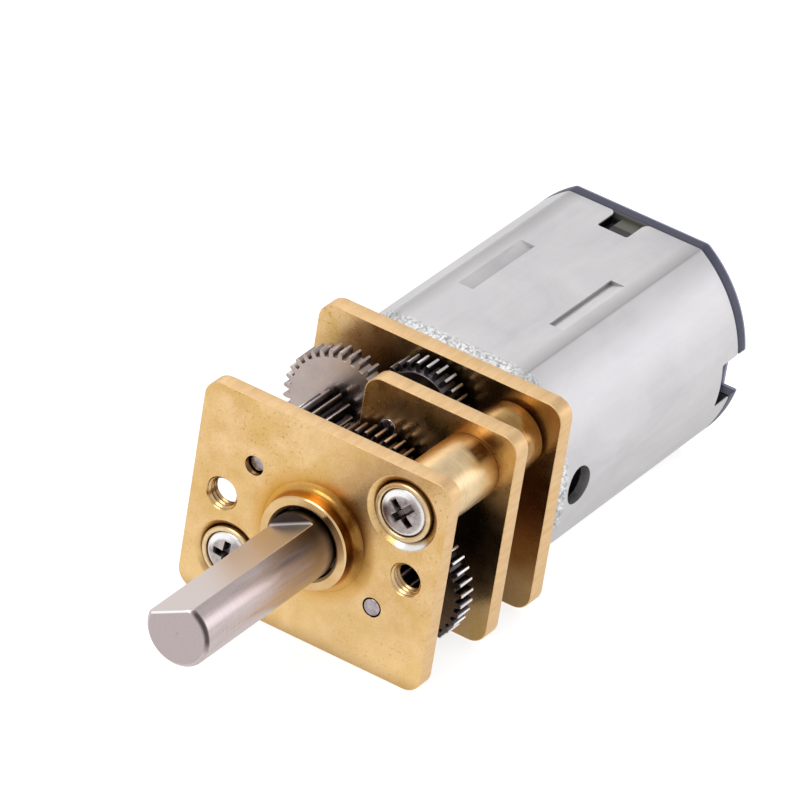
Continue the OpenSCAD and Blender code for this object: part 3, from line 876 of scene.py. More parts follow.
def screw_material():
    """Plated screw steel: a mottled face with painted shade in its recesses, a painted highlight round the
    head's rim and a painted glint crescent on one side.
    """
    recess_shade = ("120C0A", 0.7, 0.97)
    paint = satin("ScrewSteel", "CFC5C3", "8F8581", (0.2, 0.32), 7.0, 0.004, blotch=1.6, recess_shade=recess_shade)
    skin = paint.shader.inputs["Base Color"].links[0].from_socket
    scaled = (paint.math("DIVIDE", paint.radius_from((x, z)), size) for x, z, size in SCREWS)
    nearest = paint.math("MINIMUM", *scaled)
    # A painted highlight round the head's rounded rim
    rim = paint.remap(nearest, HEAD_R - 0.2, HEAD_R - 0.1, 0.0, 0.9)
    # A painted glint crescent on one side of each head
    lit = paint.math("MAXIMUM", *(paint.toward((x, z), HEAD_GLINT_TURN) for x, z, _size in SCREWS))
    crescent = paint.both(paint.remap(lit, 0.5, 0.85), paint.remap(nearest, HEAD_R - 0.36, HEAD_R - 0.26))
    paint.colour(paint.layered(skin, (rim, "F4F0F0"), (crescent, "FFFFFF")))
    return paint.material


def winding_material():
    """Enamelled copper wire laid side by side."""
    paint = Paint("Winding")
    wires = paint.add("ShaderNodeTexWave", wave_type="BANDS", bands_direction="Y")
    wires.inputs["Scale"].default_value = 2.2
    wires.inputs["Distortion"].default_value = 0.6
    paint.feed(wires.inputs["Vector"], paint.coords())
    laid = wires.outputs["Fac"]
    soft = paint.noise(2.0, 3.0)
    return paint.finish(
        paint.tones(0.4, laid, soft, "6E3216", "C4703A", (0.2, 0.8)),
        (soft, 0.25, 0.4), (laid, 0.03, 0.7),
    )

# ---------------------------------------------------------------- gearbox frame

def rounded(corners, steps):
    """A closed outline through (x, z, radius) corners, counterclockwise."""
    out = []
    walk = corners_of([corner[:2] for corner in corners])
    for (x, z, radius), (before, here, after) in zip(corners, walk):
        into, away = (here - before).normalized(), (after - here).normalized()
        turn = -into.angle_signed(away)
        if radius <= 0 or abs(turn) < 1e-3:
            out.append((x, z))
            continue
        reach = radius * math.tan(abs(turn) / 2)
        spoke = Vector((-into.y, into.x)) * (-1 if turn > 0 else 1) * radius
        centre = here - into * reach - spoke
        for k in range(steps + 1):
            angle = turn * k / steps
            out.append(tuple(centre + Vector((
                spoke.x * math.cos(angle) - spoke.y * math.sin(angle),
                spoke.x * math.sin(angle) + spoke.y * math.cos(angle),
            ))))
    return out


def plate_outline(y_range, corners=None):
    """A plate's outside: a rounded rectangle unless other corners are given."""
    corners = corners or [
        (-HALF_W, -HALF_H, CORNER_R), (HALF_W, -HALF_H, CORNER_R),
        (HALF_W, HALF_H, CORNER_R), (-HALF_W, HALF_H, CORNER_R),
    ]
    return spread(rounded(corners, steps=14), step=0.5), wall(y_range, PLATE_EDGE)


def hole(centre, radius, y_range, edge, count=48):
    """A round hole with both edges rounded."""
    return circle(radius, centre, count, True), wall(y_range, edge)


def threaded_rings(y_range):
    """Ring places for a tapped hole: a flared mouth and rounded thread crests."""
    low, high = y_range
    turns, crest, flare = 3, 0.1, 0.05
    pitch = (high - low - 2 * flare) / turns
    rings = [(flare, low), (0.0, low + flare)]
    for turn in range(turns):
        for share, depth in ((0.14, 0.1), (0.42, 0.9), (0.5, 1.0), (0.58, 0.9), (0.86, 0.1)):
            rings.append((-crest * depth, low + flare + (turn + share) * pitch))
    return rings + [(0.0, high - flare), (flare, high)]


def front_plate():
    """The front plate: two tapped holes, two pin holes and two dished screw holes."""
    y_range = span("front_plate")
    low, high = y_range
    face, bored = 0, 2
    dish = [(0.34, 0.0), (0.315, 0.008), (0.28, 0.035), (0.12, 0.15), (0.03, 0.24), (0.0, 0.3)]
    loops = [plate_outline(y_range), hole(AXIS, NOSE_R + FOOT_R, y_range, 0.003, 160)]
    for side in (-1, 1):
        tapped = circle(HOLE_R - THREAD_RELIEF, (side * HOLE_X, 0), 96, True)
        loops.append((tapped, threaded_rings(y_range), bored))
    loops += [(*hole(pin_at, PIN_R + 0.06, y_range, 0.02, 64), bored) for pin_at in (UPPER, LOWER)]
    for x, z, size in SCREWS:
        rings = [(wide * size, low + deep) for wide, deep in dish] + edge_arc(high, 0.02, False)
        loops.append((circle(RING_R * size + 0.02, (x, z), 96, True), rings, face))
    return walled("front_plate", loops, 1)


def middle_plate():
    """The middle plate, cut away on the left for the upper pinion."""
    y_range = span("middle_plate")
    cut_x, cut_z = -1.45, -0.9
    corners = [
        (-HALF_W, -HALF_H, CORNER_R), (HALF_W, -HALF_H, CORNER_R), (HALF_W, HALF_H, CORNER_R),
        (cut_x, HALF_H, CORNER_R), (cut_x, cut_z, 0.25), (-HALF_W, cut_z, 0.3),
    ]
    loops = [plate_outline(y_range, corners), hole(AXIS, IDLER_BORE, y_range, 0.03, 64)]
    loops += [hole(pin_at, PIN_R + 0.02, y_range, 0.03) for pin_at in (LOWER, FIRST)]
    loops += [hole((x, z), SHANK_R, y_range, 0.02) for x, z, _size in SCREWS]
    return walled("middle_plate", loops, 1)


def rear_plate():
    """The rear plate, which the motor is screwed to."""
    y_range = span("rear_plate")
    low, high = y_range
    loops = [plate_outline(y_range), hole(AXIS, BOSS_R, y_range, 0.03, 96)]
    loops += [hole(pin_at, PIN_R + 0.015, y_range, 0.02) for pin_at in (UPPER, FIRST)]
    loops += [hole((x, z), 0.51, y_range, 0.02) for x, z, _size in SCREWS]
    sunk = [(0.21, low), (0.2, low + 0.01), (0.0, low + 0.31)]
    for side in (-1, 1):
        clear = circle(MOTOR_SCREW_R + 0.01, (side * MOTOR_SCREW_X, 0), 64, True)
        loops.append((clear, sunk + edge_arc(high, 0.02, False)))
    return walled("rear_plate", loops, 1)


def at_screws(name, profile_for):
    """One turned piece at each gearbox screw, from a profile that knows its size."""
    return joined(name, [
        lathe(name, turned_profile(profile_for(size), 0.04), (x, z), 128) for x, z, size in SCREWS
    ])


def front_spacers():
    """Front spacers, whose noses sit in the front plate round the screw heads."""
    low, high = span("front_spacers")
    shoulder = PLATE_HIGH[1] + 0.01
    seat = low + 0.3

    def profile(size):
        bore, nose, outer = HEAD_R * size + 0.025, RING_R * size, SPACER_R * size
        return [
            (SHANK_R, high), (SHANK_R, seat), (bore, seat), (bore, low + 0.05), (bore + 0.05, low),
            (nose - 0.06, low), (nose, low + 0.06), (nose, shoulder), (outer, shoulder), (outer, high),
        ]

    return at_screws("front_spacers", profile)


def rear_spacers():
    """Rear spacers, each with a wide chamfer against the rear plate."""
    low, high = span("rear_spacers")
    chamfer = 0.22

    def profile(size):
        outer = REAR_SPACER_R * size
        return [
            (SHANK_R, high), (SHANK_R, low), (outer, low), (outer, high - chamfer),
            (outer - chamfer, high),
        ]

    return at_screws("rear_spacers", profile)


def wedge(length, width, deep, shallow, taper):
    """One bar of a cross recess, narrowing with depth, along X and open to -Y."""
    verts = []
    for y, shrink in ((shallow, 0.0), (deep, taper)):
        l, w = length / 2 - shrink, width / 2 - 0.35 * shrink
        verts += [(-l, y, -w), (l, y, -w), (l, y, w), (-l, y, w)]
    faces = [(0, 1, 2, 3), (4, 7, 6, 5), (0, 4, 5, 1), (1, 5, 6, 2), (2, 6, 7, 3), (3, 7, 4, 0)]
    return make_object("cutter", verts, faces)


def gearbox_screw(low, high, size, turn):
    """One domed cross-recess screw, with a well rounded rim."""
    head = HEAD_R * size
    dome_r, rim_r, edge, seat, shank = 4.0, 0.14, low + 0.13, 0.29, 0.5
    dome = [
        (r * head, low + dome_r - math.sqrt(dome_r * dome_r - r * r * head * head))
        for r in (0.0, 0.3, 0.55, 0.75)
    ]
    rim = [(head - rim_r * left, edge + rim_r * gone) for left, gone in quarter(5)]
    foot = [(head, seat), (shank, seat), (shank, high - 0.1), (0.4, high), (0.0, high)]
    screw = lathe("gearbox_screws", dome + rim + foot, AXIS, 96)
    length, width, taper = 1.42 * size, 0.36 * size, 0.2 * size
    for bar_turn in (turn, turn + 90):
        bar = wedge(length, width, low + 0.42, low - 0.05, taper)
        bar.data.transform(Matrix.Rotation(math.radians(bar_turn), 4, "Y"))
        carve(screw, bar)
    return bevel(screw, 0.025, 38)


def gearbox_screws():
    """The two screws, whose heads sit in the spacers' noses."""
    pieces = []
    for (x, z, size), turn in zip(SCREWS, RECESS_TURNS):
        screw = gearbox_screw(*span("gearbox_screws"), size, turn)
        screw.data.transform(Matrix.Translation((x, 0, z)))
        pieces.append(screw)
    return joined("gearbox_screws", pieces)


def motor_screws():
    """Countersunk slotted screws that hold the motor to the rear plate."""
    low, high = span("motor_screws")
    head, shank, slot = MOTOR_HEAD_R - 0.02, MOTOR_SCREW_R - 0.01, 0.15
    profile = [
        (0.0, low), (head, low), (head, low + 0.03), (shank, low + 0.29),
        (shank, high - 0.1), (0.6, high), (0.0, high),
    ]
    screw = lathe("motor_screws", turned_profile(profile, 0.02), AXIS, 64)
    carve(screw, block((-1.3, low - 1, -slot), (1.3, low + 0.2, slot)))
    bevel(screw, 0.015, 48)
    screw.data.transform(Matrix.Translation((MOTOR_SCREW_X, 0, 0)))
    return joined("motor_screws", [screw, turned_copy(screw)])


def pin(node, centre, dot=0.0, sunk=0.0):
    """A ground pin with rounded ends and, if asked, a small centre mark or a sunk face."""
    low, high = span(node)
    low += sunk
    mark = (0.06, low + 0.005) if dot else (0.02, low)
    profile = [(0.0, low + dot), mark, (PIN_R, low), (PIN_R, high), (0.0, high)]
    return lathe(node, turned_profile(profile, 0.04), centre, 64)


def output_bushing():
    """The bushing: a chamfered nose that flares into the plate."""
    low, high = span("output_bushing")
    bore, foot = SHAFT_R + RUN, NOSE_R + FOOT_R - 0.003
    profile = [
        (bore, high), (bore, low + 0.24), (bore + 0.07, low + 0.08), (bore + 0.2, low),
        (NOSE_R - 0.06, low), (NOSE_R, low + 0.06),
    ]
    profile += [(NOSE_R + FOOT_R * gone, -FOOT_R * left) for left, gone in quarter(10)]
    nose = lathe("output_bushing", turned_profile(profile + [(foot, 0.03), (foot, high)], 0.03), AXIS, 160)
    for face in nose.data.polygons:
        flared = math.hypot(face.center.x, face.center.z) > NOSE_R - 0.01 and face.center.y > low + 0.08
        face.material_index = 1 if flared else 0
    return nose


def thrust_washer():
    """The washer between the bushing and the output wheel."""
    low, high = span("thrust_washer")
    bore, outer = SHAFT_R + RUN, box_mm("thrust_washer")[1][0]
    profile = [(bore, high), (bore, low), (outer, low), (outer, high)]
    return lathe("thrust_washer", turned_profile(profile, 0.03), AXIS, 96)


def output_shaft():
    """The output shaft: chamfered tip with a faint centre mark, one flat, and a journal."""
    low, high = span("output_shaft")
    seat, wheel_end = span("output_wheel_gear")
    tip, groove, groove_r, groove_end = 0.2, -0.7, SHAFT_R - 0.2, -0.1
    profile = [
        (0.0, low + 0.05), (0.14, low), (SHAFT_R - tip, low), (SHAFT_R, low + tip),
        (SHAFT_R, groove), (groove_r, groove), (groove_r, groove_end), (SHAFT_R, groove_end),
        (SHAFT_R, seat), (SEAT_R, seat), (SEAT_R, wheel_end),
        (JOURNAL_R, wheel_end), (JOURNAL_R, high), (0.0, high),
    ]
    shaft = lathe("output_shaft", turned_profile(profile, 0.03), AXIS, 160)
    fillet = 0.14
    corner = [(FLAT_DEPTH + fillet * gone, FLAT_END - fillet * left) for left, gone in quarter(6)]
    flat = prism([(FLAT_DEPTH, low - 1), *corner, (3, FLAT_END), (3, low - 1)], -2, 2, "Z")
    flat.data.transform(Matrix.Rotation(-FLAT_TURN, 4, "Y"))
    carve(shaft, flat)
    return bevel(shaft, 0.04, 25, 3)

# ---------------------------------------------------------------- gears

MODULE = 0.15
PRESSURE = math.radians(20)
BACKLASH = 0.014
SHIFT = 0.4
WHEEL_TEETH, CLUSTER_TEETH, FIRST_TEETH = 40, 34, 25
PINION_TEETH, IDLER_TEETH, MOTOR_TEETH = 10, 16, 15
# Colours some gears take instead of the defaults: face, low and tip tones, and how deep their painted recess
# shade goes
GEAR_TONES = {
    "upper_wheel_gear": ("C6B8B2", "B0A29E", "A89C9A", 0.6),
    "idler_wheel_gear": ("7E7478", "544C50", "A0969A"),
}


def involute(angle):
    return math.tan(angle) - angle


def gear_outline(teeth, shift, start, centre):
    """An involute gear's outline with softened tips and roots, counterclockwise."""
    base = MODULE * teeth / 2 * math.cos(PRESSURE)
    tip = tip_radius(teeth, shift)
    root = MODULE * (teeth / 2 - 1.25 + shift)
    low = max(base, root)
    at_pitch = (MODULE * (math.pi / 2 + 2 * shift * math.tan(PRESSURE)) - BACKLASH) / (MODULE * teeth)

    def half(radius):
        slope = math.acos(min(1, base / max(radius, base)))
        return at_pitch + involute(PRESSURE) - involute(slope)

    radii = [low + (tip - low) * k / 4 for k in range(5)]
    flank = [(root, half(low))] + [(r, half(r)) for r in radii]
    points = []
    for i in range(teeth):
        middle = math.radians(start) + TAU * i / teeth
        points += [(r, middle - a) for r, a in flank]
        points.append((tip, middle))
        points += [(r, middle + a) for r, a in reversed(flank)]
        points.append((root, middle + math.pi / teeth))
    flat = [(centre[0] + r * math.cos(a), centre[1] + r * math.sin(a)) for r, a in points]
    return soften(flat, 0.028, 3, 24.0)


def tip_radius(teeth, shift):
    return MODULE * (teeth / 2 + 1 + shift)


def meshed(teeth_a, teeth_b, way):
    """Where gear b starts so that it meshes with gear a, which starts at nought and lies towards it."""
    return way + 180 - (0.5 - teeth_a * way / 360) * 360 / teeth_b


def bearing_of(a, b):
    """Direction from one centre to another, in degrees."""
    return math.degrees(math.atan2(b[1] - a[1], b[0] - a[0]))


TO_UPPER = bearing_of(AXIS, UPPER)
LOWER_START = meshed(WHEEL_TEETH, PINION_TEETH, TO_UPPER + 180)
IDLER_START = meshed(CLUSTER_TEETH, IDLER_TEETH, TO_UPPER)
UPPER_START = meshed(WHEEL_TEETH, PINION_TEETH, TO_UPPER)
FIRST_START = meshed(CLUSTER_TEETH, PINION_TEETH, bearing_of(UPPER, FIRST))
MOTOR_START = meshed(FIRST_TEETH, MOTOR_TEETH, bearing_of(AXIS, FIRST) + 180)


def gear_wheel(node, teeth, shift, start, centre, y_range, bore):
    """A toothed disc with a bore."""
    outside = gear_outline(teeth, shift, start, centre), wall(y_range, 0.02)
    return walled(node, [outside, hole(centre, bore, y_range, 0.03, 64)])


def gear_pinion(node, teeth, shift, start, centre, neck, bore):
    """A pinion cut on a longer neck, bored for its pin; its teeth end at its wheel."""
    low, high = span(node)
    teeth_range = (low, span(node.replace("pinion", "wheel_gear"))[0])
    if node == "upper_pinion":
        teeth_range = (UPPER_TEETH_LOW, teeth_range[1] - UPPER_TEETH_GAP)
    toothed = gear_wheel(node, teeth, shift, start, centre, teeth_range, bore)
    ring = turned_profile([(bore, high), (bore, low), (neck, low), (neck, high)], 0.03)
    return carve(toothed, lathe("neck", ring, centre, 64), "UNION")


def first_wheel():
    """The first wheel, with a smooth shoulder in front of its teeth."""
    low, high = span("first_wheel_gear")
    teeth_low, shoulder = 7.35, 1.62
    toothed = gear_wheel("first_wheel_gear", FIRST_TEETH, -SHIFT, 0, FIRST, (teeth_low, high), WHEEL_BORE)
    overlap = teeth_low + 0.3
    ring = [(WHEEL_BORE, overlap), (WHEEL_BORE, low), (shoulder, low), (shoulder, overlap)]
    return carve(toothed, lathe("shoulder", turned_profile(ring, 0.06), FIRST, 96), "UNION")

# ---------------------------------------------------------------- motor

def can_outline(inset=0.0, step=0.12):
    """The can's outline: a circle cut by two flats, with soft corners."""
    outline = flatted_circle(HALF_W - inset, HALF_H - inset)
    return spread(soften(outline, 0.45 - 0.4 * inset, 6, 20.0), step)


def tube_rings(low, high, bend, end_bevel):
    """Ring places for the can: a bent front edge, then straight to the mouth."""
    rows = 22
    start = low + bend
    rings = [(bend * left, low + bend * gone) for left, gone in quarter(10)]
    rings += [(0.0, start + (high - end_bevel - start) * k / rows) for k in range(1, rows)]
    return rings + edge_arc(high, end_bevel, False)


def prism(outline, low, high, axis):
    """An outline made solid between two places along X or Z; it is given in the other two."""
    count = len(outline)
    if axis == "Z":
        verts = [(x, y, z) for z in (low, high) for x, y in outline]
    else:
        verts = [(x, y, z) for x in (low, high) for y, z in outline]
    faces = [tuple(range(count)), tuple(range(2 * count - 1, count - 1, -1))]
    faces += [(i, (i + 1) % count, count + (i + 1) % count, count + i) for i in range(count)]
    return make_object("cutter", verts, faces)


def rod(radius, y_range, centre, segments):
    """A round bar along Y, used to drill other pieces."""
    low, high = y_range
    return lathe("cutter", [(0, low), (radius, low), (radius, high), (0, high)], centre, segments)


def mouth_slot(middle, mouth, width, length, lip=0.38):
    """A slot's outline in (across, y), rounded inside and flared by round lips at the mouth."""
    low, high, start = middle - width / 2, middle + width / 2, mouth - length
    corners = [(low, start, 0.12), (high, start, 0.12), (high, mouth, 0.0), (low, mouth, 0.0)]
    inside = [point for point in rounded(corners, 6) if point[1] < mouth - lip]
    lips = [(high + lip * gone, mouth - lip * left) for left, gone in quarter(8)]
    mirrored = [(2 * middle - x, y) for x, y in reversed(lips)]
    return inside + lips + [(lips[-1][0], mouth + 1), (mirrored[0][0], mouth + 1)] + mirrored


def lance(side, level):
    """The cutter for one lanced groove: steep on its inner side, sloping out to the surface."""
    inner, outer = side * LANCE_X[0], side * LANCE_X[1]
    bottom, surface, above = (level * (HALF_H + rise) for rise in (-0.2, 0, 0.5))
    verts = [
        (x, y, z) for y in LANCE_Y
        for x, z in ((inner, bottom), (outer, surface), (outer, above), (inner, above))
    ]
    faces = [(0, 1, 2, 3), (7, 6, 5, 4)]
    faces += [(k, (k + 1) % 4, (k + 1) % 4 + 4, k + 4) for k in range(4)]
    return make_object("cutter", verts, faces)


def motor_can():
    """The drawn steel can: bent front edge, lanced grooves, side holes and notched mouth."""
    low, high = span("motor_can")
    front = (low - 1, low + 1)
    can = walled("motor_can", [(can_outline(), tube_rings(low, high, CAN_BEND, 0.05))])
    inside = tube_rings(low + SHEET, high + 1, CAN_BEND - SHEET, 0.01)
    carve(can, walled("inside", [(can_outline(SHEET, 0.2), inside)]))
    carve(can, rod(BOSS_R - 0.02, front, AXIS, 96))
    for side in (-1, 1):
        carve(can, rod(MOTOR_SCREW_R, front, (side * MOTOR_SCREW_X, 0), 48))
    carve(can, prism(circle(SIDE_HOLE_R, SIDE_HOLE, 72), -HALF_W - 1, HALF_W + 1, "X"))
    for level in (-1, 1):
        for side in (-1, 1):
            carve(can, lance(side, level))
    carve(can, prism(mouth_slot(NOTCH_X, high, width=1.5, length=1.6), -HALF_H - 1, HALF_H + 1, "Z"))
    slot = mouth_slot(sum(SIDE_NOTCH) / 2, high, width=SIDE_NOTCH[1] - SIDE_NOTCH[0], length=1.3, lip=0.2)
    carve(can, prism([(y, z) for z, y in slot], -HALF_W - 1, HALF_W + 1, "X"))
    return bevel(can, 0.045, 48)


def end_cap():
    """The moulded end cap: rim, plug, keys in the notches, bearing boss and terminal slots."""
    high = span("end_cap")[1]
    mouth = span("motor_can")[1]
    rim_end = mouth + CAP_RIM
    hollow_end = rim_end - 1.1
    key_z, rib_z = HALF_H - 0.25, HALF_H - 1.2
    cap = walled("end_cap", [(can_outline(), wall((mouth + 0.005, rim_end), 0.12))])
    plug = walled("plug", [(can_outline(0.47, 0.2), wall((mouth - 1.4, mouth + 0.3), 0.03))])
    carve(cap, plug, "UNION")
    key = block((NOTCH_X - 0.4, mouth - 1.2, -key_z), (NOTCH_X + 0.73, mouth + 0.3, key_z))
    carve(cap, key, "UNION")
    boss = [(0, mouth + 0.2), (2, mouth + 0.2), (2, high), (0, high)]
    carve(cap, lathe("boss", turned_profile(boss, 0.08), AXIS, 96), "UNION")
    carve(cap, walled("hollow", [(can_outline(1.15, 0.3), wall((mouth - 3, hollow_end), 0.02))]))
    carve(cap, block((-1.5, mouth - 4, -rib_z), (1.5, hollow_end, rib_z)))
    seat, step, vent = 1.005, high - 0.2, 0.6
    bore = [(0, mouth - 2), (seat, mouth - 2), (seat, step), (vent, step), (vent, high + 1), (0, high + 1)]
    carve(cap, lathe("cutter", bore, AXIS, 64))
    bevel(cap, 0.05, 50)
    notch = [(y, z) for z in SIDE_NOTCH for y in (mouth - 2.5, rim_end + 1)]
    notch[2:] = reversed(notch[2:])
    for side in (-1, 1):
        inner, outer = sorted((side * (HALF_W - 0.8), side * (HALF_W + 0.8)))
        carve(cap, prism(notch, inner, outer, "X"))
        at = side * TERMINAL_X
        carve(cap, block((at - 0.16, rim_end - 2.1, -0.71), (at + 0.16, rim_end + 1, 0.71)))
    return cap


def terminals():
    """Two flat solder tags with round ends and a hole each."""
    low, high = span("terminals")
    half_w = box_mm("terminals")[1][2]
    tag = rounded([(low, -half_w, 0.0), (high, -half_w, 0.45), (high, half_w, 0.45), (low, half_w, 0.0)], 8)
    one = prism(tag, TERMINAL_X - HALF_TAG, TERMINAL_X + HALF_TAG, "X")
    carve(one, prism(circle(0.35, (high - 0.75, 0), 48), TERMINAL_X - 1, TERMINAL_X + 1, "X"))
    bevel(one, 0.03, 40)
    return joined("terminals", [one, turned_copy(one)])

# ---------------------------------------------------------------- putting it together

def build_frame():
    """The gearbox's plates, spacers, screws, pins, bushing and output shaft."""
    face, edge = plate_face_material(), plate_edge_material()
    turned = turned_brass_material()
    screw_steel = screw_material()
    pin_steel = satin("PinSteel", "C9BFC2", "8E8488", (0.2, 0.3), 8.0, 0.002, blotch=2.0).material
    # The middle and rear plates take deeper painted shade in recesses and a painted shade colour low on
    # their right; the rear spacer's darker tones are painted shade, and the bushing's recess shade is
    # lighter
    middle = plate_face_material("MiddleBrass", ("4A2E12", 2.6, 0.78), "4A3420")
    rear = plate_face_material("RearBrass", ("3A1C0A", 3.8, 0.95), "7A3A14")
    rear_spacer_shaded = turned_brass_material("RearSpacerBrass", "94683A", "C8A266", 0.85)
    bushing = turned_brass_material("BushingBrass", recess_shade=0.35)
    for build, skins in (
        (front_plate, (face, edge, turned)), (middle_plate, (middle, edge)), (rear_plate, (rear, edge)),
        (front_spacers, (spacer_material(),)), (rear_spacers, (rear_spacer_shaded,)),
        (output_bushing, (bushing, face)), (gearbox_screws, (screw_steel,)),
        (motor_screws, (screw_steel,)), (thrust_washer, (pin_steel,)), (output_shaft, (shaft_material(),)),
    ):
        finish_piece(build(), build.__name__, skins)
    for node, centre, dot, sunk in (
        ("upper_pin_axle", UPPER, 0.0, 0.22), ("lower_pin_axle", LOWER, 0.03, 0.0),
        ("first_pin_axle", FIRST, 0.0, 0.0),
    ):
        finish_piece(pin(node, centre, dot, sunk), node, (pin_steel,))


def build_gears():
    """The gear train, every gear in mesh with the next."""
    for node, teeth, shift, centre, bore in (
        ("output_wheel_gear", WHEEL_TEETH, -SHIFT, AXIS, SEAT_R + 0.002),
        ("lower_wheel_gear", CLUSTER_TEETH, 0.0, LOWER, WHEEL_BORE),
        ("idler_wheel_gear", WHEEL_TEETH, -SHIFT, AXIS, 0.852),
        ("upper_wheel_gear", CLUSTER_TEETH, -SHIFT, UPPER, WHEEL_BORE),
    ):
        piece = gear_wheel(node, teeth, shift, 0.0, centre, span(node), bore)
        finish_gear(piece, node, centre, tip_radius(teeth, shift))
    for node, teeth, shift, start, centre, neck, bore in (
        ("lower_pinion", PINION_TEETH, SHIFT, LOWER_START, LOWER, PINION_NECK, PINION_BORE),
        ("idler_pinion", IDLER_TEETH, 0.0, IDLER_START, AXIS, 0.85, IDLER_BORE),
        ("upper_pinion", PINION_TEETH, SHIFT, UPPER_START, UPPER, PINION_NECK, PINION_BORE),
        ("first_pinion", PINION_TEETH, SHIFT, FIRST_START, FIRST, PINION_NECK, PINION_BORE),
    ):
        piece = gear_pinion(node, teeth, shift, start, centre, neck, bore)
        finish_gear(piece, node, centre, tip_radius(teeth, shift))
    steel = gear_steel_material("FirstSteel", FIRST, 2.0)
    finish_piece(first_wheel(), "first_wheel_gear", (steel,), GEAR_SHARP)
    pinion = gear_wheel("motor_pinion", MOTOR_TEETH, SHIFT, MOTOR_START, AXIS, span("motor_pinion"), 0.502)
    finish_piece(pinion, "motor_pinion", (turned_brass_material("PinionBrass"),), GEAR_SHARP)


def finish_gear(piece, node, centre, tip):
    """Finishes a gear in steel worn at its tips."""
    steel = gear_steel_material(node + "_steel", centre, tip, *GEAR_TONES.get(node, ()))
    finish_piece(piece, node, (steel,), GEAR_SHARP)


def build_motor():
    """The motor's can, end cap and terminals."""
    brass = satin("TerminalBrass", "E8C67E", "C59F55", (0.25, 0.38), 9.0, 0.004).material
    for build, skin in ((motor_can, can_material()), (end_cap, cap_material()), (terminals, brass)):
        finish_piece(build(), build.__name__, (skin,))


def dress_inside():
    """Finishes for the CAD nodes that stay as they are, inside the motor."""
    finishes = {
        "front_bearing": satin("Bronze", "C08A4E", "8A5A30", (0.35, 0.5), 8.0, 0.006),
        "magnets": satin("Ferrite", "3A3A3D", "242427", (0.55, 0.7), 10.0, 0.01, metallic=0.0),
        "lamination_stack": satin("CoreSteel", "85868A", "5C5D62", (0.3, 0.45), 1.0, 0.02, (0.4, 18.0, 0.4)),
        "commutator_hub": satin("HubPlastic", "5A2A22", "3F1C18", (0.4, 0.55), 8.0, 0.006, metallic=0.0),
        "commutator_segments": satin("SegmentCopper", "D98B5C", "A8623C", (0.2, 0.32), 6.0, 0.004),
        "rotor_washers": satin("WasherPlastic", "ECE6D6", "D4CCB8", (0.4, 0.55), 8.0, 0.005, metallic=0.0),
        "rotor_shaft": satin("RotorSteel", "D2D2D4", "A4A4A8", (0.18, 0.28), 6.0, 0.002),
        "brush_arms": satin("BrushCopper", "D59A62", "A86E40", (0.25, 0.4), 8.0, 0.004),
    }
    paints = {node: paint.material for node, paint in finishes.items()}
    paints["rear_bearing"] = paints["front_bearing"]
    paints["windings"] = winding_material()
    edges = {"magnets": 0.05, "windings": 0.35, "commutator_hub": 0.05, "brush_arms": 0.05}
    for node, material in paints.items():
        cad = frame["nodes"][node]
        cad.data.materials.clear()
        cad.data.materials.append(material)
        if node in edges:
            edge = cad.modifiers.new("edge", "BEVEL")
            edge.width = edges[node] * MM
            edge.segments = 3
            edge.limit_method = "ANGLE"
            edge.angle_limit = math.radians(50)

# ---------------------------------------------------------------- the studio

def photo_camera():
    """The camera at the reference view: long lens, slightly rolled."""
    azimuth, elevation, roll = (math.radians(a) for a in (27.91, 31.33, -9.43))
    distance, aim_right, aim_up = 343.516, 3.5505, 5.5573
    forward = Vector((
        -math.sin(azimuth) * math.cos(elevation), math.cos(azimuth) * math.cos(elevation),
        -math.sin(elevation),
    ))
    level = forward.cross(Vector((0, 0, 1))).normalized()
    upright = level.cross(forward)
    right = level * math.cos(roll) - upright * math.sin(roll)
    up = upright * math.cos(roll) + level * math.sin(roll)
    aim = (right * aim_right + up * aim_up) * MM
    data = bpy.data.cameras.new("camera")
    data.sensor_width = 36.0
    data.lens = 379.98
    data.clip_start, data.clip_end = 0.01, 20.0
    camera = place("camera", data)
    turn = Matrix((right, up, -forward)).transposed()
    camera.matrix_world = Matrix.Translation(aim - forward * distance * MM) @ turn.to_4x4()
    bpy.context.scene.camera = camera


def area_light(name, place_mm, size_mm, watts, colour=(1, 1, 1)):
    """A soft rectangular light aimed at the middle of the motor."""
    aim = Vector((0, 8, 0))
    data = bpy.data.lights.new(name, "AREA")
    data.shape = "RECTANGLE"
    data.size, data.size_y = (s * MM for s in size_mm)
    data.energy = watts
    data.color = colour
    light = place(name, data)
    light.location = Vector(place_mm) * MM
    light.rotation_mode = "QUATERNION"
    light.rotation_quaternion = (aim - Vector(place_mm)).to_track_quat("-Z", "Y")


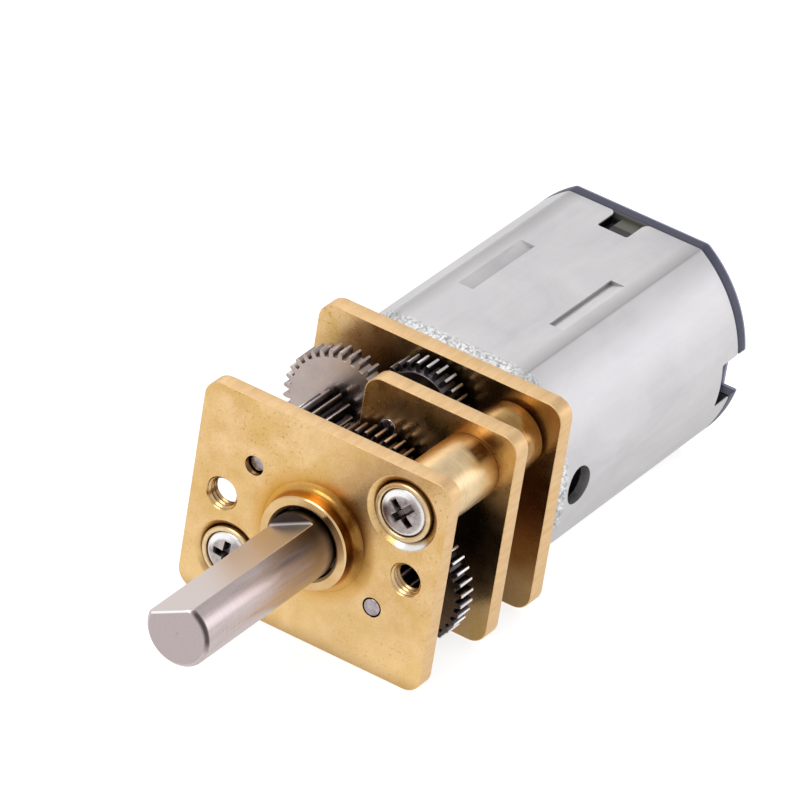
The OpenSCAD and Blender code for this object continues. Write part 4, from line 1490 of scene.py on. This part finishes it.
def floor():
    """A plain pale floor just under the motor."""
    size = 1.2
    level = -(HALF_H + 0.03) * MM
    corners = [(x, y, level) for x, y in ((-size, -size), (size, -size), (size, size), (-size, size))]
    mesh = bpy.data.meshes.new("floor")
    mesh.from_pydata(corners, [], [range(4)])
    ground = place("floor", mesh)
    paint = Paint("Floor", 0.0)
    seen = paint.add("ShaderNodeLightPath").outputs["Is Camera Ray"]
    paint.colour(paint.mix(seen, "949494", "C0C0C0"))
    settings = {
        "Roughness": 0.9, "Specular IOR Level": 0.1, "Emission Color": "FFFFFF",
        "Emission Strength": paint.remap(seen, 0.0, 1.0, 0.68, 0.75),
    }
    for name, value in settings.items():
        paint.feed(paint.shader.inputs[name], value)
    mesh.materials.append(paint.material)


def sky():
    """A soft studio surround, brighter overhead and greyer towards the horizon."""
    world = bpy.data.worlds.new("studio")
    bpy.context.scene.world = world
    world.use_nodes = True
    tree = world.node_tree
    place = tree.nodes.new("ShaderNodeTexCoord")
    split = tree.nodes.new("ShaderNodeSeparateXYZ")
    ramp = tree.nodes.new("ShaderNodeValToRGB")
    back = tree.nodes["Background"]
    stops = ((0.0, (1.0, 1.0, 1.03, 1)), (0.6, (0.82, 0.82, 0.82, 1)))
    for element, (position, colour) in zip(ramp.color_ramp.elements, stops):
        element.position = position
        element.color = colour
    tree.links.new(place.outputs["Generated"], split.inputs[0])
    tree.links.new(split.outputs["Z"], ramp.inputs["Fac"])
    tree.links.new(ramp.outputs["Color"], back.inputs["Color"])
    back.inputs["Strength"].default_value = 0.85


def lights():
    """Four soft lights under the surround; the key is in front and above."""
    area_light("key", (-60, -160, 230), (160, 160), 0.22)
    area_light("side", (260, 30, 110), (140, 200), 0.06)
    area_light("back", (190, 245, 80), (120, 120), 0.062, (0.96, 0.96, 1.0))
    area_light("rim", (-150, 150, 160), (120, 120), 0.06)


build_frame()
build_gears()
build_motor()
dress_inside()
floor()
sky()
lights()
photo_camera()
bpy.context.scene.view_settings.view_transform = "Standard"
